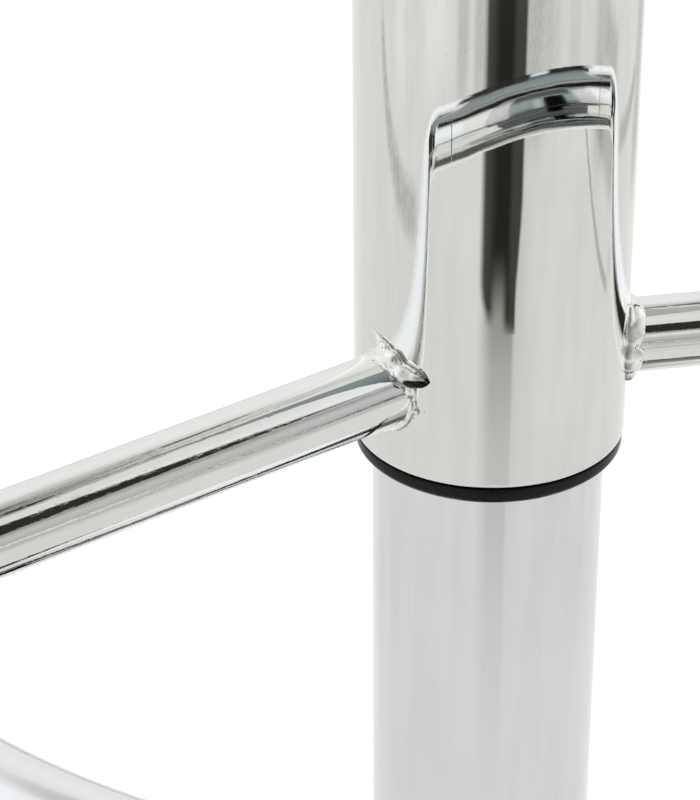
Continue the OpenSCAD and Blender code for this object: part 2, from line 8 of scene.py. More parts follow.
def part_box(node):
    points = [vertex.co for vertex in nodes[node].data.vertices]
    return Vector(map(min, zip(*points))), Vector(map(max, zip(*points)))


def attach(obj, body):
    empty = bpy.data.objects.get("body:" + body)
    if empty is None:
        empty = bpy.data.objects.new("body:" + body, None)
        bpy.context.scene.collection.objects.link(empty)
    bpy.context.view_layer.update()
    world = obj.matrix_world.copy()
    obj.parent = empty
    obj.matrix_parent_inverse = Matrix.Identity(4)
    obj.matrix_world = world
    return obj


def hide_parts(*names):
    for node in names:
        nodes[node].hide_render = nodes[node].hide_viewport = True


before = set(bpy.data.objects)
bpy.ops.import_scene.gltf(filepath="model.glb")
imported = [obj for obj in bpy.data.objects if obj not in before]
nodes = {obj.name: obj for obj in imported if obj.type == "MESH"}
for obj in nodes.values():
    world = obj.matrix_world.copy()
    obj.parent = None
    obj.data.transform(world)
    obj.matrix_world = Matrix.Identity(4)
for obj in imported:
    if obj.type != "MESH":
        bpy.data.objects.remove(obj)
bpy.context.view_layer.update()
scene = bpy.context.scene

MM = 0.001


def low(node):
    """Height of a solid's lowest point, in millimetres."""
    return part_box(node)[0].z / MM


def high(node):
    """Height of a solid's highest point, in millimetres."""
    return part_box(node)[1].z / MM


# Sizes that the solids share with the looks, in millimetres and degrees. R is a radius.
SLEEVE_LOW, SLEEVE_TOP, SLEEVE_R, SLEEVE_WALL = low("sleeve"), high("sleeve"), 29.0, 1.5
COLUMN_LOW, COLUMN_TOP, COLUMN_R, COLUMN_WALL = low("lower_column"), high("lower_column"), 25.0, 1.5
GAS_R, INSERT_R, LEVER_R = 14.0, 4.0, 4.0
PRESS_GAP, SLIDE_GAP = 0.03, 0.07
SLEEVE_BORE = SLEEVE_R - SLEEVE_WALL - PRESS_GAP
BASE_R, RIM_R, DOME_R = 200.0, 7.0, 1200.0
COVER_WALL, BALLAST_R, BALLAST_GAP = 1.5, 174.0, 0.8
DOME_MID = high("ballast_plate") - math.sqrt((DOME_R - COVER_WALL - BALLAST_GAP) ** 2 - BALLAST_R ** 2)
FLARE_R, COLLAR_R = 40.0, 31.0
COVER_LOW, COVER_TOP = low("base_cover"), high("base_cover")
TUBE_R, TUBE_SIDES, FOOTREST_Z, LEAN = 8.0, 72, SLEEVE_LOW + 18.0, 1.0
FRONT_R, FRONT_CENTRE, BEND_R, SWEEP, SEAM, EDGE_BREAK = 158.2, 27.2, 25.2, 13.6, 24.6, 0.8
SHELL_Z = high("seat_pan") + 9.0
LEVER_Z, LEVER_REACH, LEVER_BEND, LEVER_BEND_R = 727.2, 150.0, 20.0, 24.0


# Finishes

class Wire:
    """A socket whose sums and products become Math nodes."""

    def __init__(self, tree, socket):
        self.tree = tree
        self.socket = socket

    def math(self, operation, first, second):
        node = self.tree.nodes.new("ShaderNodeMath")
        node.operation = operation
        for socket, value in zip(node.inputs, (first, second)):
            join(self.tree, socket, value)
        return Wire(self.tree, node.outputs[0])

    def __add__(self, other):
        return self.math("ADD", self, other)

    __radd__ = __add__

    def __sub__(self, other):
        return self.math("SUBTRACT", self, other)

    def __rsub__(self, other):
        return self.math("SUBTRACT", other, self)

    def __mul__(self, other):
        return self.math("MULTIPLY", self, other)

    __rmul__ = __mul__

    def __truediv__(self, other):
        return self.math("DIVIDE", self, other)

    def __pow__(self, other):
        return self.math("POWER", self, other)


def join(tree, socket, value):
    """Sets a socket to a value, or links it to what the value comes from."""
    if isinstance(value, Wire):
        tree.links.new(value.socket, socket)
    elif hasattr(value, "is_output"):
        tree.links.new(value, socket)
    elif value is not None:
        socket.default_value = value


class Finish:
    """A material, or the world, under construction."""

    def __init__(self, owner):
        self.material = bpy.data.materials.new(owner) if isinstance(owner, str) else owner
        self.material.use_nodes = True
        self.tree = self.material.node_tree
        self.tree.nodes.clear()
        kind = "World" if isinstance(self.material, bpy.types.World) else "Material"
        self.output = self.tree.nodes.new("ShaderNodeOutput" + kind)

    def node(self, kind, settings=None, **inputs):
        """A node of a kind: its settings first, then the values or links of its sockets."""
        node = self.tree.nodes.new("ShaderNode" + kind)
        for key, value in (settings or {}).items():
            if key == "stops":
                set_stops(node.color_ramp, value)
            else:
                setattr(node, key, value)
        for key, value in inputs.items():
            join(self.tree, find_socket(node.inputs, key), value)
        return node

    def value(self, node, output):
        return Wire(self.tree, node.outputs[output])

    def place(self, scale=(1, 1, 1), turn=(0, 0, 0)):
        """The piece's own coordinates in metres, first turned and then stretched."""
        spot = self.node("TexCoord").outputs["Object"]
        if any(turn):
            spot = self.node("Mapping", Vector=spot, Rotation=turn).outputs[0]
        return self.node("Mapping", Vector=spot, Scale=scale).outputs[0]

    def grain(self, scale, detail=3.0, roughness=0.5, stretch=(1, 1, 1), turn=(0, 0, 0)):
        """Noise between 0 and 1 whose features are about 1/scale metres."""
        made = self.node("TexNoise", Vector=self.place(stretch, turn), Scale=scale, Detail=detail,
                         Roughness=roughness)
        return Wire(self.tree, made.outputs["Fac"])

    def ramp(self, value, start, end, to_low=0.0, to_high=1.0):
        """A value spread smoothly from one range to another."""
        made = self.node("MapRange", {"interpolation_type": "SMOOTHSTEP"}, Value=value,
                         From_Min=start, From_Max=end, To_Min=to_low, To_Max=to_high)
        return Wire(self.tree, made.outputs[0])

    def blend(self, factor, first, second):
        """Mix of two colours."""
        made = self.node("Mix", {"data_type": "RGBA"})
        join(self.tree, made.inputs[0], factor)
        for socket, colour in ((made.inputs[6], first), (made.inputs[7], second)):
            join(self.tree, socket, opaque(colour))
        return made.outputs[2]

    def bump(self, height, distance, strength=1.0, below=None):
        made = self.node("Bump", Height=height, Distance=distance, Strength=strength, Normal=below)
        return made.outputs[0]

    def wire_up(self, *pairs):
        """Links the first output of each shader to a socket."""
        for shader, socket in pairs:
            self.tree.links.new(shader.outputs[0], socket)

    def shade(self, **inputs):
        """Closes the material with a Principled shader."""
        shader = self.node("BsdfPrincipled")
        for key, value in inputs.items():
            join(self.tree, find_socket(shader.inputs, key), opaque(value))
        self.wire_up((shader, self.output.inputs[0]))
        return self.material


def opaque(value):
    """A colour of three numbers with its alpha, and anything else as it is."""
    return (*value, 1.0) if isinstance(value, tuple) and len(value) == 3 else value


def find_socket(sockets, key):
    """A socket by its name, with underscores for spaces."""
    name = key.replace("_", " ")
    for socket in sockets:
        if socket.name == name and socket.enabled:
            return socket
    raise KeyError(name)


def set_stops(ramp, stops):
    """Gives a colour ramp its stops, each a place and a colour."""
    while len(ramp.elements) < len(stops):
        ramp.elements.new(1.0)
    for element, (position, colour) in zip(ramp.elements, stops):
        element.position = position
        element.color = (*colour, 1.0)


def chrome(name, tone=(0.664, 0.666, 0.648), haze=0.012, along=(1, 1, 0.04), turn=(0, 0, 0), scratch=0.5,
           wave=0.5, worn=0.0):
    """Plated and polished steel: faint smears, hairlines along the tube, pits, and the plating's ripple."""
    finish = Finish(name)
    cloud = finish.grain(18.0, 4.0, 0.6)
    hair = finish.grain(1500.0, 2.0, 0.6, along, turn)
    speck = finish.grain(1100.0, 2.0, 0.5)
    smear = finish.ramp(cloud, 0.42, 0.75)
    pits = finish.ramp(speck, 0.74, 0.79)
    lines = finish.ramp(hair, 0.56, 0.72)
    colour = finish.blend(smear * 0.6 + lines * 0.25, tone, tuple(0.93 * c for c in tone))
    colour = finish.blend(pits * 0.5, colour, tuple(0.6 * c for c in tone))
    rough = smear * 0.02 + pits * 0.06 + lines * 0.012
    surface = finish.bump(finish.grain(120.0, 1.0, 0.5), 0.00002 * wave, 0.6)
    surface = finish.bump(hair, 0.000004 * scratch, 0.8, surface)
    if worn:
        short = tuple(0.12 if axis < 0.5 else 1.0 for axis in along)
        rub = finish.ramp(finish.grain(26.0, 3.0, 0.6, turn=turn), 0.38, 0.62)
        marks = finish.ramp(finish.grain(2600.0, 2.0, 0.7, short, turn), 0.5, 0.8) * rub
        surface = finish.bump(marks, 0.000007 * worn, 0.9, surface)
        rough += marks * 0.1
    return finish.shade(Base_Color=colour, Metallic=1.0, Roughness=haze + rough, Normal=surface)


# Place and size of the dark patch on the left weld's drop: part burnt scale, part painted reflection of a
# dark thing in its hollow.
SPOT_TURN, SPOT_HEIGHT, SPOT_WIDE, SPOT_TALL = 145.0, 312.8, 3.2, 1.3


def weld_metal():
    """Weld beads under the plating: bright lumps, brown scale in the pits, and on the left drop one dark
    patch that is part burnt scale and part painted reflection of a dark thing.
    """
    finish = Finish("weld_metal")
    lumps = finish.grain(420.0, 2.0, 0.5)
    fine = finish.grain(1700.0, 3.0, 0.6)
    cloud = finish.grain(330.0, 4.0, 0.7, turn=(0.6, 0.3, 0.2))
    burnt = finish.ramp(cloud, 0.59, 0.63)
    parts = finish.node("SeparateXYZ", Vector=finish.place(turn=(0, 0, math.radians(SPOT_TURN))))
    wide = finish.value(parts, "Y") / (SPOT_WIDE * MM)
    tall = (finish.value(parts, "Z") - SPOT_HEIGHT * MM) / (SPOT_TALL * MM)
    # Painted reflection: a dark brown patch on the drop, partly burnt scale, made a little glossier so that
    # its highlights stay.
    drop_scale_and_reflection = finish.ramp((wide * wide + tall * tall) ** 0.5 + cloud * 0.7, 1.35, 1.05)
    colour = finish.blend(finish.ramp(lumps, 0.35, 0.65), (0.7, 0.69, 0.655), (0.87, 0.862, 0.828))
    colour = finish.blend(burnt * 0.9, colour, (0.1, 0.055, 0.035))
    colour = finish.blend(drop_scale_and_reflection, colour, (0.022, 0.013, 0.011))
    rough = 0.22 + finish.ramp(lumps, 0.3, 0.55) * 0.16 + burnt * 0.3 - drop_scale_and_reflection * 0.1
    surface = finish.bump(lumps, 0.00003, 0.6, finish.bump(fine, 0.000005, 0.7))
    return finish.shade(Base_Color=colour, Metallic=0.95, Roughness=rough, Normal=surface)


def moulded(name, tone, roughness, grain, depth, shine=0.5):
    """Moulded plastic with a fine spark-eroded grain and slight dulling."""
    finish = Finish(name)
    cloud = finish.grain(22.0, 3.0, 0.6)
    fine = finish.grain(grain, 3.0, 0.6)
    colour = finish.blend(finish.ramp(cloud, 0.35, 0.7), tone, tuple(0.9 * c for c in tone))
    return finish.shade(Base_Color=colour, Roughness=roughness + cloud * 0.08, Specular_IOR_Level=shine,
                        Normal=finish.bump(fine, depth, 0.7))


def seat_plastic():
    """White moulded seat: a satin grain, with rub marks where people slide on and off."""
    finish = Finish("seat_plastic")
    cloud = finish.grain(9.0, 4.0, 0.6)
    fine = finish.grain(1300.0, 3.0, 0.6)
    rub = finish.ramp(finish.grain(40.0, 5.0, 0.7, (1, 0.3, 1)), 0.55, 0.8)
    colour = finish.blend(finish.ramp(cloud, 0.3, 0.75), (0.8, 0.8, 0.785), (0.765, 0.763, 0.745))
    surface = finish.bump(fine, 0.00003, 0.6, finish.bump(rub, 0.00002, 0.3))
    return finish.shade(Base_Color=colour, Roughness=0.27 + cloud * 0.12 + rub * 0.08, Coat_Weight=0.15,
                        Coat_Roughness=0.15, Normal=surface)


def floor_rubber():
    """Black rubber with dust in its grain."""
    finish = Finish("floor_rubber")
    fine = finish.grain(800.0, 4.0, 0.7)
    dust = finish.ramp(finish.grain(60.0, 4.0, 0.7), 0.5, 0.8)
    colour = finish.blend(dust * 0.5, (0.025, 0.025, 0.026), (0.09, 0.088, 0.083))
    return finish.shade(Base_Color=colour, Roughness=0.62 + dust * 0.2,
                        Normal=finish.bump(fine, 0.00006, 0.8))


def painted_steel(name, tone):
    """Powder-coated sheet steel with its orange-peel skin."""
    finish = Finish(name)
    peel = finish.grain(520.0, 2.0, 0.5)
    cloud = finish.grain(26.0, 3.0, 0.6)
    chips = finish.ramp(finish.grain(210.0, 4.0, 0.75), 0.73, 0.77)
    colour = finish.blend(finish.ramp(cloud, 0.3, 0.8), tone, tuple(c * 1.25 for c in tone))
    colour = finish.blend(chips, colour, (0.23, 0.225, 0.22))
    return finish.shade(Base_Color=colour, Roughness=0.38 + cloud * 0.12, Metallic=chips * 0.6,
                        Normal=finish.bump(peel, 0.00005, 0.8))


def zinc_steel():
    """Bright zinc plate with a crystalline bloom and faint yellow passivation."""
    finish = Finish("zinc_steel")
    bloom = finish.grain(300.0, 4.0, 0.7)
    fine = finish.grain(1500.0, 2.0, 0.5)
    colour = finish.blend(finish.ramp(bloom, 0.35, 0.7), (0.56, 0.57, 0.59), (0.5712, 0.5529, 0.5074))
    return finish.shade(Base_Color=colour, Metallic=1.0, Roughness=0.26 + bloom * 0.14,
                        Normal=finish.bump(fine, 0.00001, 0.6))


def turned(name, tone, rough):
    """Ground or turned metal: rings of tool marks round the column's axis."""
    finish = Finish(name)
    marks = finish.grain(900.0, 3.0, 0.6, (0.15, 0.15, 3.0))
    cloud = finish.grain(45.0, 3.0, 0.6)
    colour = finish.blend(finish.ramp(cloud, 0.3, 0.75), tone, tuple(c * 0.9 for c in tone))
    return finish.shade(Base_Color=colour, Metallic=1.0, Roughness=rough + cloud * 0.08,
                        Normal=finish.bump(marks, 0.00001, 0.8))


CHROME = chrome("chrome")
COLUMN_CHROME = chrome("column_chrome", (0.656, 0.657, 0.652), 0.014, scratch=0.3)
LEFT_CHROME, RIGHT_CHROME = (
    chrome("footrest_chrome_" + side, (0.68, 0.682, 0.664), 0.016, along=(0.04, 1, 1),
           turn=(0, 0, math.radians(angle)), scratch=0.8, wave=0.8, worn=1.0)
    for side, angle in (("left", -SWEEP), ("right", SWEEP)))
BAR_CHROME = chrome("footrest_chrome_front", (0.68, 0.682, 0.668), 0.016, (1, 1, 1), wave=0.8)
WELD = weld_metal()
BLACK_GLOSS = moulded("black_gloss", (0.0075, 0.0075, 0.0075), 0.2, 1200.0, 0.00001, shine=0.12)
BLACK_GRIP = moulded("black_grip", (0.018, 0.018, 0.019), 0.42, 1100.0, 0.00005)
SEAT = seat_plastic()
FLOOR_RUBBER = floor_rubber()
PAINT = painted_steel("painted_steel", (0.02, 0.02, 0.021))
BALLAST = painted_steel("ballast_paint", (0.055, 0.06, 0.065))
ZINC = zinc_steel()
GROUND = turned("ground_steel", (0.6, 0.6, 0.61), 0.14)
BRASS = turned("brass", (0.72, 0.53, 0.24), 0.22)
NYLON = moulded("bush_plastic", (0.66, 0.62, 0.5), 0.4, 700.0, 0.00003)


# Shaping

def into_scene(bm, name, *materials):
    """Turns a bmesh into an object of the scene."""
    mesh = bpy.data.meshes.new(name)
    bm.to_mesh(mesh)
    bm.free()
    for material in materials:
        mesh.materials.append(material)
    thing = bpy.data.objects.new(name, mesh)
    scene.collection.objects.link(thing)
    return thing


def finished(bm, name, finish, slot, body, *stands_for, sharp=32.0):
    """Turns a bmesh in millimetres into a smooth piece that rides a body and stands for solids."""
    bmesh.ops.remove_doubles(bm, verts=bm.verts, dist=0.002)
    bmesh.ops.recalc_face_normals(bm, faces=bm.faces)
    bmesh.ops.scale(bm, vec=(MM, MM, MM), verts=bm.verts)
    piece = into_scene(bm, name, finish)
    piece.data.shade_smooth()
    piece.data.set_sharp_from_angle(angle=math.radians(sharp))
    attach(piece, body)
    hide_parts(*stands_for)


def arc(centre, radius, start, end, steps):
    """Points of an arc in a half section, from one angle to another in degrees."""
    turn = [math.radians(start + (end - start) * i / steps) for i in range(steps + 1)]
    return [(centre[0] + radius * math.cos(a), centre[1] + radius * math.sin(a)) for a in turn]


def spun(section, rounds, steps):
    """A closed half section turned round the column's axis. Each round is (corner numbers, radius)."""
    bm = bmesh.new()
    verts = [bm.verts.new((r, 0, z)) for r, z in section]
    for i, vert in enumerate(verts):
        bm.edges.new((vert, verts[(i + 1) % len(verts)]))
    for corners, radius in rounds:
        bmesh.ops.bevel(bm, geom=[verts[i] for i in corners], offset=radius, segments=4, profile=0.5,
                        affect="VERTICES", material=-1)
    hold_flats(bm)
    spin_full(bm, bm.verts[:] + bm.edges[:], steps)
    return bm


def spin_full(bm, geom, steps, axis=(0, 0, 1)):
    bmesh.ops.spin(bm, geom=geom, cent=(0, 0, 0), axis=axis, dvec=(0, 0, 0), angle=2 * math.pi,
                   steps=steps, use_merge=True)


def hold_flats(bm, shortest=5.0, shadowed_gap=0.8):
    """Puts points close to both ends of long straight edges, so that flats stay true mirrors."""
    for edge in bm.edges[:]:
        length = edge.calc_length()
        if length > shortest:
            first, last = edge.verts
            rest, _ = bmesh.utils.edge_split(edge, first, shadowed_gap / length)
            longer = max((edge, rest), key=lambda e: e.calc_length())
            bmesh.utils.edge_split(longer, last, shadowed_gap / (length - shadowed_gap))


def cap(bm, ring):
    """Closes a ring of edges with one face."""
    bmesh.ops.contextual_create(bm, geom=ring)


def ring_edges(geom):
    return [e for e in geom if isinstance(e, bmesh.types.BMEdge)]


def ring_verts(geom):
    return [v for v in geom if isinstance(v, bmesh.types.BMVert)]


def edges_at(verts):
    """Every edge that meets one of the points."""
    return list({e for v in verts for e in v.link_edges})


# Column and base

def make_sleeve():
    inner = SLEEVE_R - SLEEVE_WALL
    section = [(inner, SLEEVE_LOW), (SLEEVE_R, SLEEVE_LOW), (SLEEVE_R, SLEEVE_TOP), (inner, SLEEVE_TOP)]
    bm = spun(section, [((0, 1), 0.3), ((2, 3), 0.2)], 360)
    finished(bm, "sleeve_tube", CHROME, "chrome", "carriage", "sleeve")


def make_lower_column():
    inner = COLUMN_R - COLUMN_WALL
    section = [(inner, COLUMN_LOW), (COLUMN_R, COLUMN_LOW), (COLUMN_R, COLUMN_TOP), (inner, COLUMN_TOP)]
    bm = spun(section, [((0, 1, 2, 3), 0.3)], 320)
    finished(bm, "lower_column_tube", COLUMN_CHROME, "column_chrome", "base", "lower_column")


def make_glide_ring():
    """The ring that slides on the column: a lip below the sleeve, a groove line and a spigot."""
    z, inner, lip, groove = SLEEVE_LOW, COLUMN_R + SLIDE_GAP, SLEEVE_R - 0.3, SLEEVE_R - 1.4
    bottom, groove_low, top, lead = z - 4.4, z - 0.7, z + 20, 0.6
    section = [(inner + lead, bottom), (lip - 1.2, bottom), (lip, bottom + 1.2), (lip, groove_low),
               (groove, groove_low), (groove, z), (SLEEVE_BORE, z), (SLEEVE_BORE, top),
               (inner + lead, top), (inner, top - lead), (inner, bottom + lead)]
    bm = spun(section, [((1, 2), 0.45), ((3,), 0.25)], 288)
    finished(bm, "glide_ring_moulding", BLACK_GLOSS, "black_gloss", "carriage", "glide_ring")


def make_sleeve_cap():
    """Turned cap: a plug in the sleeve's top, under a flange with a broken edge."""
    z, bore = SLEEVE_TOP, GAS_R + PRESS_GAP
    bottom, top = z - 12, z + 4
    section = [(bore, bottom), (SLEEVE_BORE, bottom), (SLEEVE_BORE, z), (SLEEVE_R, z),
               (SLEEVE_R, top - 1), (SLEEVE_R - 1, top), (bore, top)]
    bm = spun(section, [((3,), 0.15), ((4, 5), 0.4), ((6,), 0.3)], 256)
    finished(bm, "sleeve_cap_turning", CHROME, "chrome", "carriage", "sleeve_cap")


def cover_line(inset):
    """Half section of the spun cover, from its lower edge up to the collar's top."""
    dome = (0.0, DOME_MID)
    rim_x = BASE_R - RIM_R
    rim = (rim_x, dome[1] + math.sqrt((DOME_R - RIM_R) ** 2 - rim_x ** 2))
    flare_x = COLLAR_R + FLARE_R
    flare = (flare_x, dome[1] + math.sqrt((DOME_R + FLARE_R) ** 2 - flare_x ** 2))
    to_rim = math.degrees(math.atan2(rim[1] - dome[1], rim[0]))
    to_flare = math.degrees(math.atan2(flare[1] - dome[1], flare[0]))
    line = [(BASE_R - inset, COVER_LOW)]
    line += arc(rim, RIM_R - inset, 0, to_rim, 14)
    line += arc(dome, DOME_R - inset, to_rim, to_flare, 24)[1:]
    line += arc(flare, FLARE_R + inset, 180 + to_flare, 180, 24)[1:]
    line.append((COLLAR_R - inset, COVER_TOP))
    return line


def make_base_cover():
    outer = cover_line(0)
    section = outer + cover_line(COVER_WALL)[::-1]
    top = len(outer) - 1
    bm = spun(section, [((top, top + 1), 0.5)], 288)
    finished(bm, "base_cover_spinning", CHROME, "chrome", "base", "base_cover")


def make_column_collar():
    """Black collar round the column: a skirt inside the cover, and a lip on its edge."""
    z, inner = COVER_TOP, COLUMN_R + PRESS_GAP
    skirt, lip = COLLAR_R - COVER_WALL - PRESS_GAP, COLLAR_R + 1.5
    bottom, top = z - 12, z + 2.6
    section = [(inner, bottom), (skirt, bottom), (skirt, z), (lip, z), (lip, top - 1.2),
               (lip - 1.2, top), (inner, top)]
    bm = spun(section, [((3,), 0.2), ((4, 5), 0.7), ((6,), 0.3)], 224)
    finished(bm, "column_collar_moulding", BLACK_GLOSS, "black_gloss", "base", "column_collar")


def make_floor_ring():
    """Rubber ring under the base: a wall that carries the cover's rim, round a raised inner land."""
    inner, shelf, wall, outer = BASE_R - 42, BASE_R - 25.5, BASE_R - 2.5, BASE_R - 0.3
    step, top = 6, 8
    section = [(inner, 0.8), (inner + 0.8, 0), (outer - 1.2, 0), (outer, 1.2), (outer, COVER_LOW),
               (wall, COVER_LOW), (wall, step), (shelf, step), (shelf, top), (inner, top)]
    bm = spun(section, [((3, 4), 0.35), ((6, 7), 0.4)], 288)
    finished(bm, "floor_ring_rubber", FLOOR_RUBBER, "floor_rubber", "base", "floor_ring")


# Footrest

def footrest_place():
    """Turns the footrest's plan, x sideways and y forward, into its place on the stool."""
    lean = Matrix.Rotation(-math.radians(LEAN), 4, "Y")
    return Matrix.Translation((0, 0, FOOTREST_Z)) @ lean @ Matrix.Diagonal((1, -1, 1, 1))


def arm_place(side):
    """Turns an arm's own frame, drawn from the front curve's centre, into the plan of one side."""
    arm = Matrix.Translation((0, FRONT_CENTRE, 0)) @ Matrix.Rotation(math.radians(SWEEP), 4, "Z")
    return footrest_place() @ Matrix.Diagonal((side, 1, 1, 1)) @ arm


def column_in_arm():
    """The column's axis in an arm's own frame."""
    return -FRONT_CENTRE * math.sin(math.radians(SWEEP)), -FRONT_CENTRE * math.cos(math.radians(SWEEP))


def saddle_x(y, radius):
    """Where a line along the arm meets a cylinder round the column."""
    cx, cy = column_in_arm()
    return cx + math.sqrt(radius ** 2 - (y - cy) ** 2)


def carry_round(bm, ring, centre, turn, steps):
    """Carries a ring of edges round an upright axis and gives what it ends in."""
    return bmesh.ops.spin(bm, geom=ring, cent=centre, axis=(0, 0, 1), dvec=(0, 0, 0), angle=turn,
                          steps=steps)["geom_last"]


def taper_end(bm, ring, turn):
    """Adds the small break of a sawn tube's edge and closes the end."""
    last = carry_round(bm, ring, (0, 0, 0), turn, 1)
    verts = ring_verts(last)
    middle = sum((v.co for v in verts), Vector()) / len(verts)
    for v in verts:
        v.co = middle + (v.co - middle) * 0.9
    cap(bm, ring_edges(last))


def make_arm(side, name, stands_for):
    """A side tube: straight out from the sleeve, bent forward, and on round the front curve to its seam."""
    bm = bmesh.new()
    root = Matrix.Translation((12, -BEND_R, 0)) @ Matrix.Rotation(math.pi / 2, 4, "Y")
    start = bmesh.ops.create_circle(bm, radius=TUBE_R, segments=TUBE_SIDES, matrix=root)["verts"][:]
    ring = first = edges_at(start)
    reach = FRONT_R - BEND_R
    for step in (30, 60, reach):
        out = bmesh.ops.extrude_edge_only(bm, edges=ring)["geom"]
        moved = ring_verts(out)
        bmesh.ops.translate(bm, vec=(step - max(v.co.x for v in moved), 0, 0), verts=moved)
        ring = ring_edges(out)
    bent = carry_round(bm, ring, (reach, 0, 0), math.pi / 2, 36)
    break_turn = EDGE_BREAK / FRONT_R
    curved = carry_round(bm, ring_edges(bent), (0, 0, 0), math.radians(SEAM - SWEEP) - break_turn, 16)
    taper_end(bm, ring_edges(curved), break_turn)
    for v in start:
        v.co.x = saddle_x(v.co.y, SLEEVE_R - 0.4)
    cap(bm, first)
    bmesh.ops.transform(bm, matrix=arm_place(side), verts=bm.verts)
    finished(bm, name, LEFT_CHROME if side < 0 else RIGHT_CHROME, "footrest_chrome", "carriage", stands_for)


def make_foot_bar():
    """The front tube, curved from one seam to the other."""
    bm = bmesh.new()
    break_turn = EDGE_BREAK / FRONT_R
    begin = math.radians(SEAM) + break_turn
    upright = Matrix.Translation((FRONT_R, 0, 0)) @ Matrix.Rotation(math.pi / 2, 4, "X")
    made = bmesh.ops.create_circle(bm, radius=TUBE_R, segments=TUBE_SIDES,
                                   matrix=Matrix.Rotation(begin, 4, "Z") @ upright)
    ring = edges_at(made["verts"])
    curved = carry_round(bm, ring, (0, 0, 0), math.pi - 2 * begin, 180)
    taper_end(bm, ring_edges(curved), break_turn)
    taper_end(bm, ring, -break_turn)
    place = footrest_place() @ Matrix.Translation((0, FRONT_CENTRE, 0))
    bmesh.ops.transform(bm, matrix=place, verts=bm.verts)
    finished(bm, "foot_bar_tube", BAR_CHROME, "footrest_chrome", "carriage", "foot_bar")


def bead_size(turn, sizes):
    """Height and reach of a bead at an angle round the tube, eased between its rows."""
    turn %= 360
    rows = sizes + [(sizes[0][0] + 360, *sizes[0][1:])]
    for (a, *first), (b, *last) in zip(rows, rows[1:]):
        if a <= turn <= b:
            t = (turn - a) / (b - a)
            ease = t * t * (3 - 2 * t)
            return [p + (q - p) * ease for p, q in zip(first, last)]
    return list(sizes[0][1:])


BEAD_RING_R, DROP_STEPS = 12.0, 8


def lay_bead(bm, side, sizes, seed):
    """The bead proper: a plain ring, then sized by the rows and set round the arm's end."""
    made = bmesh.ops.create_circle(bm, radius=1.0, segments=20,
                                   matrix=Matrix.Translation((0, BEAD_RING_R, 0)))
    spin_full(bm, edges_at(made["verts"]), 220, axis=(1, 0, 0))
    bmesh.ops.remove_doubles(bm, verts=bm.verts, dist=0.001)
    for v in bm.verts:
        turn = math.degrees(math.atan2(v.co.y, v.co.z)) % 360
        around = math.radians(turn)
        out, along = math.hypot(v.co.y, v.co.z) - BEAD_RING_R, v.co.x
        height, reach = bead_size(turn, sizes)
        swell, ripple = noise.noise(Vector((turn / 16, seed, 0))), math.sin(math.radians(turn * 15))
        uneven = 1 + 0.22 * swell + 0.04 * ripple
        far = TUBE_R + out * height * uneven
        foot = saddle_x(-BEND_R - TUBE_R * math.sin(around), SLEEVE_R)
        v.co = (foot + 0.2 * reach + along * reach * uneven,
                -BEND_R - far * math.sin(around), far * math.cos(around))
    bmesh.ops.transform(bm, matrix=arm_place(side), verts=bm.verts)


def lay_trail(bm, points):
    """A run of overlapping drops on the sleeve, from each point to the next."""
    for first, last in zip(points, points[1:] or points):
        for step in range(DROP_STEPS + 1):
            angle, height, lift, radius, flat = (p + (q - p) * step / DROP_STEPS for p, q in zip(first, last))
            out = Matrix.Translation((SLEEVE_R + lift, 0, height)) @ Matrix.Diagonal((flat, 1, 1, 1))
            bmesh.ops.create_icosphere(bm, subdivisions=3, radius=radius,
                                       matrix=Matrix.Rotation(math.radians(angle), 4, "Z") @ out)


def fuse(bm, name):
    """Melts overlapping lumps into one skin."""
    lumps = into_scene(bm, name + "_lumps")
    melt = lumps.modifiers.new("melt", "REMESH")
    melt.mode = "VOXEL"
    melt.voxel_size = 0.2
    ease = lumps.modifiers.new("ease", "SMOOTH")
    ease.iterations = 10
    bpy.context.view_layer.update()
    skin = bpy.data.meshes.new_from_object(lumps.evaluated_get(bpy.context.evaluated_depsgraph_get()))
    bpy.data.objects.remove(lumps)
    bm = bmesh.new()
    bm.from_mesh(skin)
    bpy.data.meshes.remove(skin)
    return bm


def make_weld(side, name, stands_for, sizes, trails, seed):
    """A hand-laid bead round an arm's end, with the drops and runs that were left beside it."""
    bm = bmesh.new()
    lay_bead(bm, side, sizes, seed)
    for points in trails:
        lay_trail(bm, points)
    bmesh.ops.recalc_face_normals(bm, faces=bm.faces)
    bm = fuse(bm, name)
    for v in bm.verts:
        swell = noise.noise(v.co * 0.45 + Vector((seed, 0, 0))) * 0.2 + noise.noise(v.co * 1.2) * 0.015
        v.co += v.normal * swell
    finished(bm, name, WELD, "weld_metal", "carriage", stands_for, sharp=70)


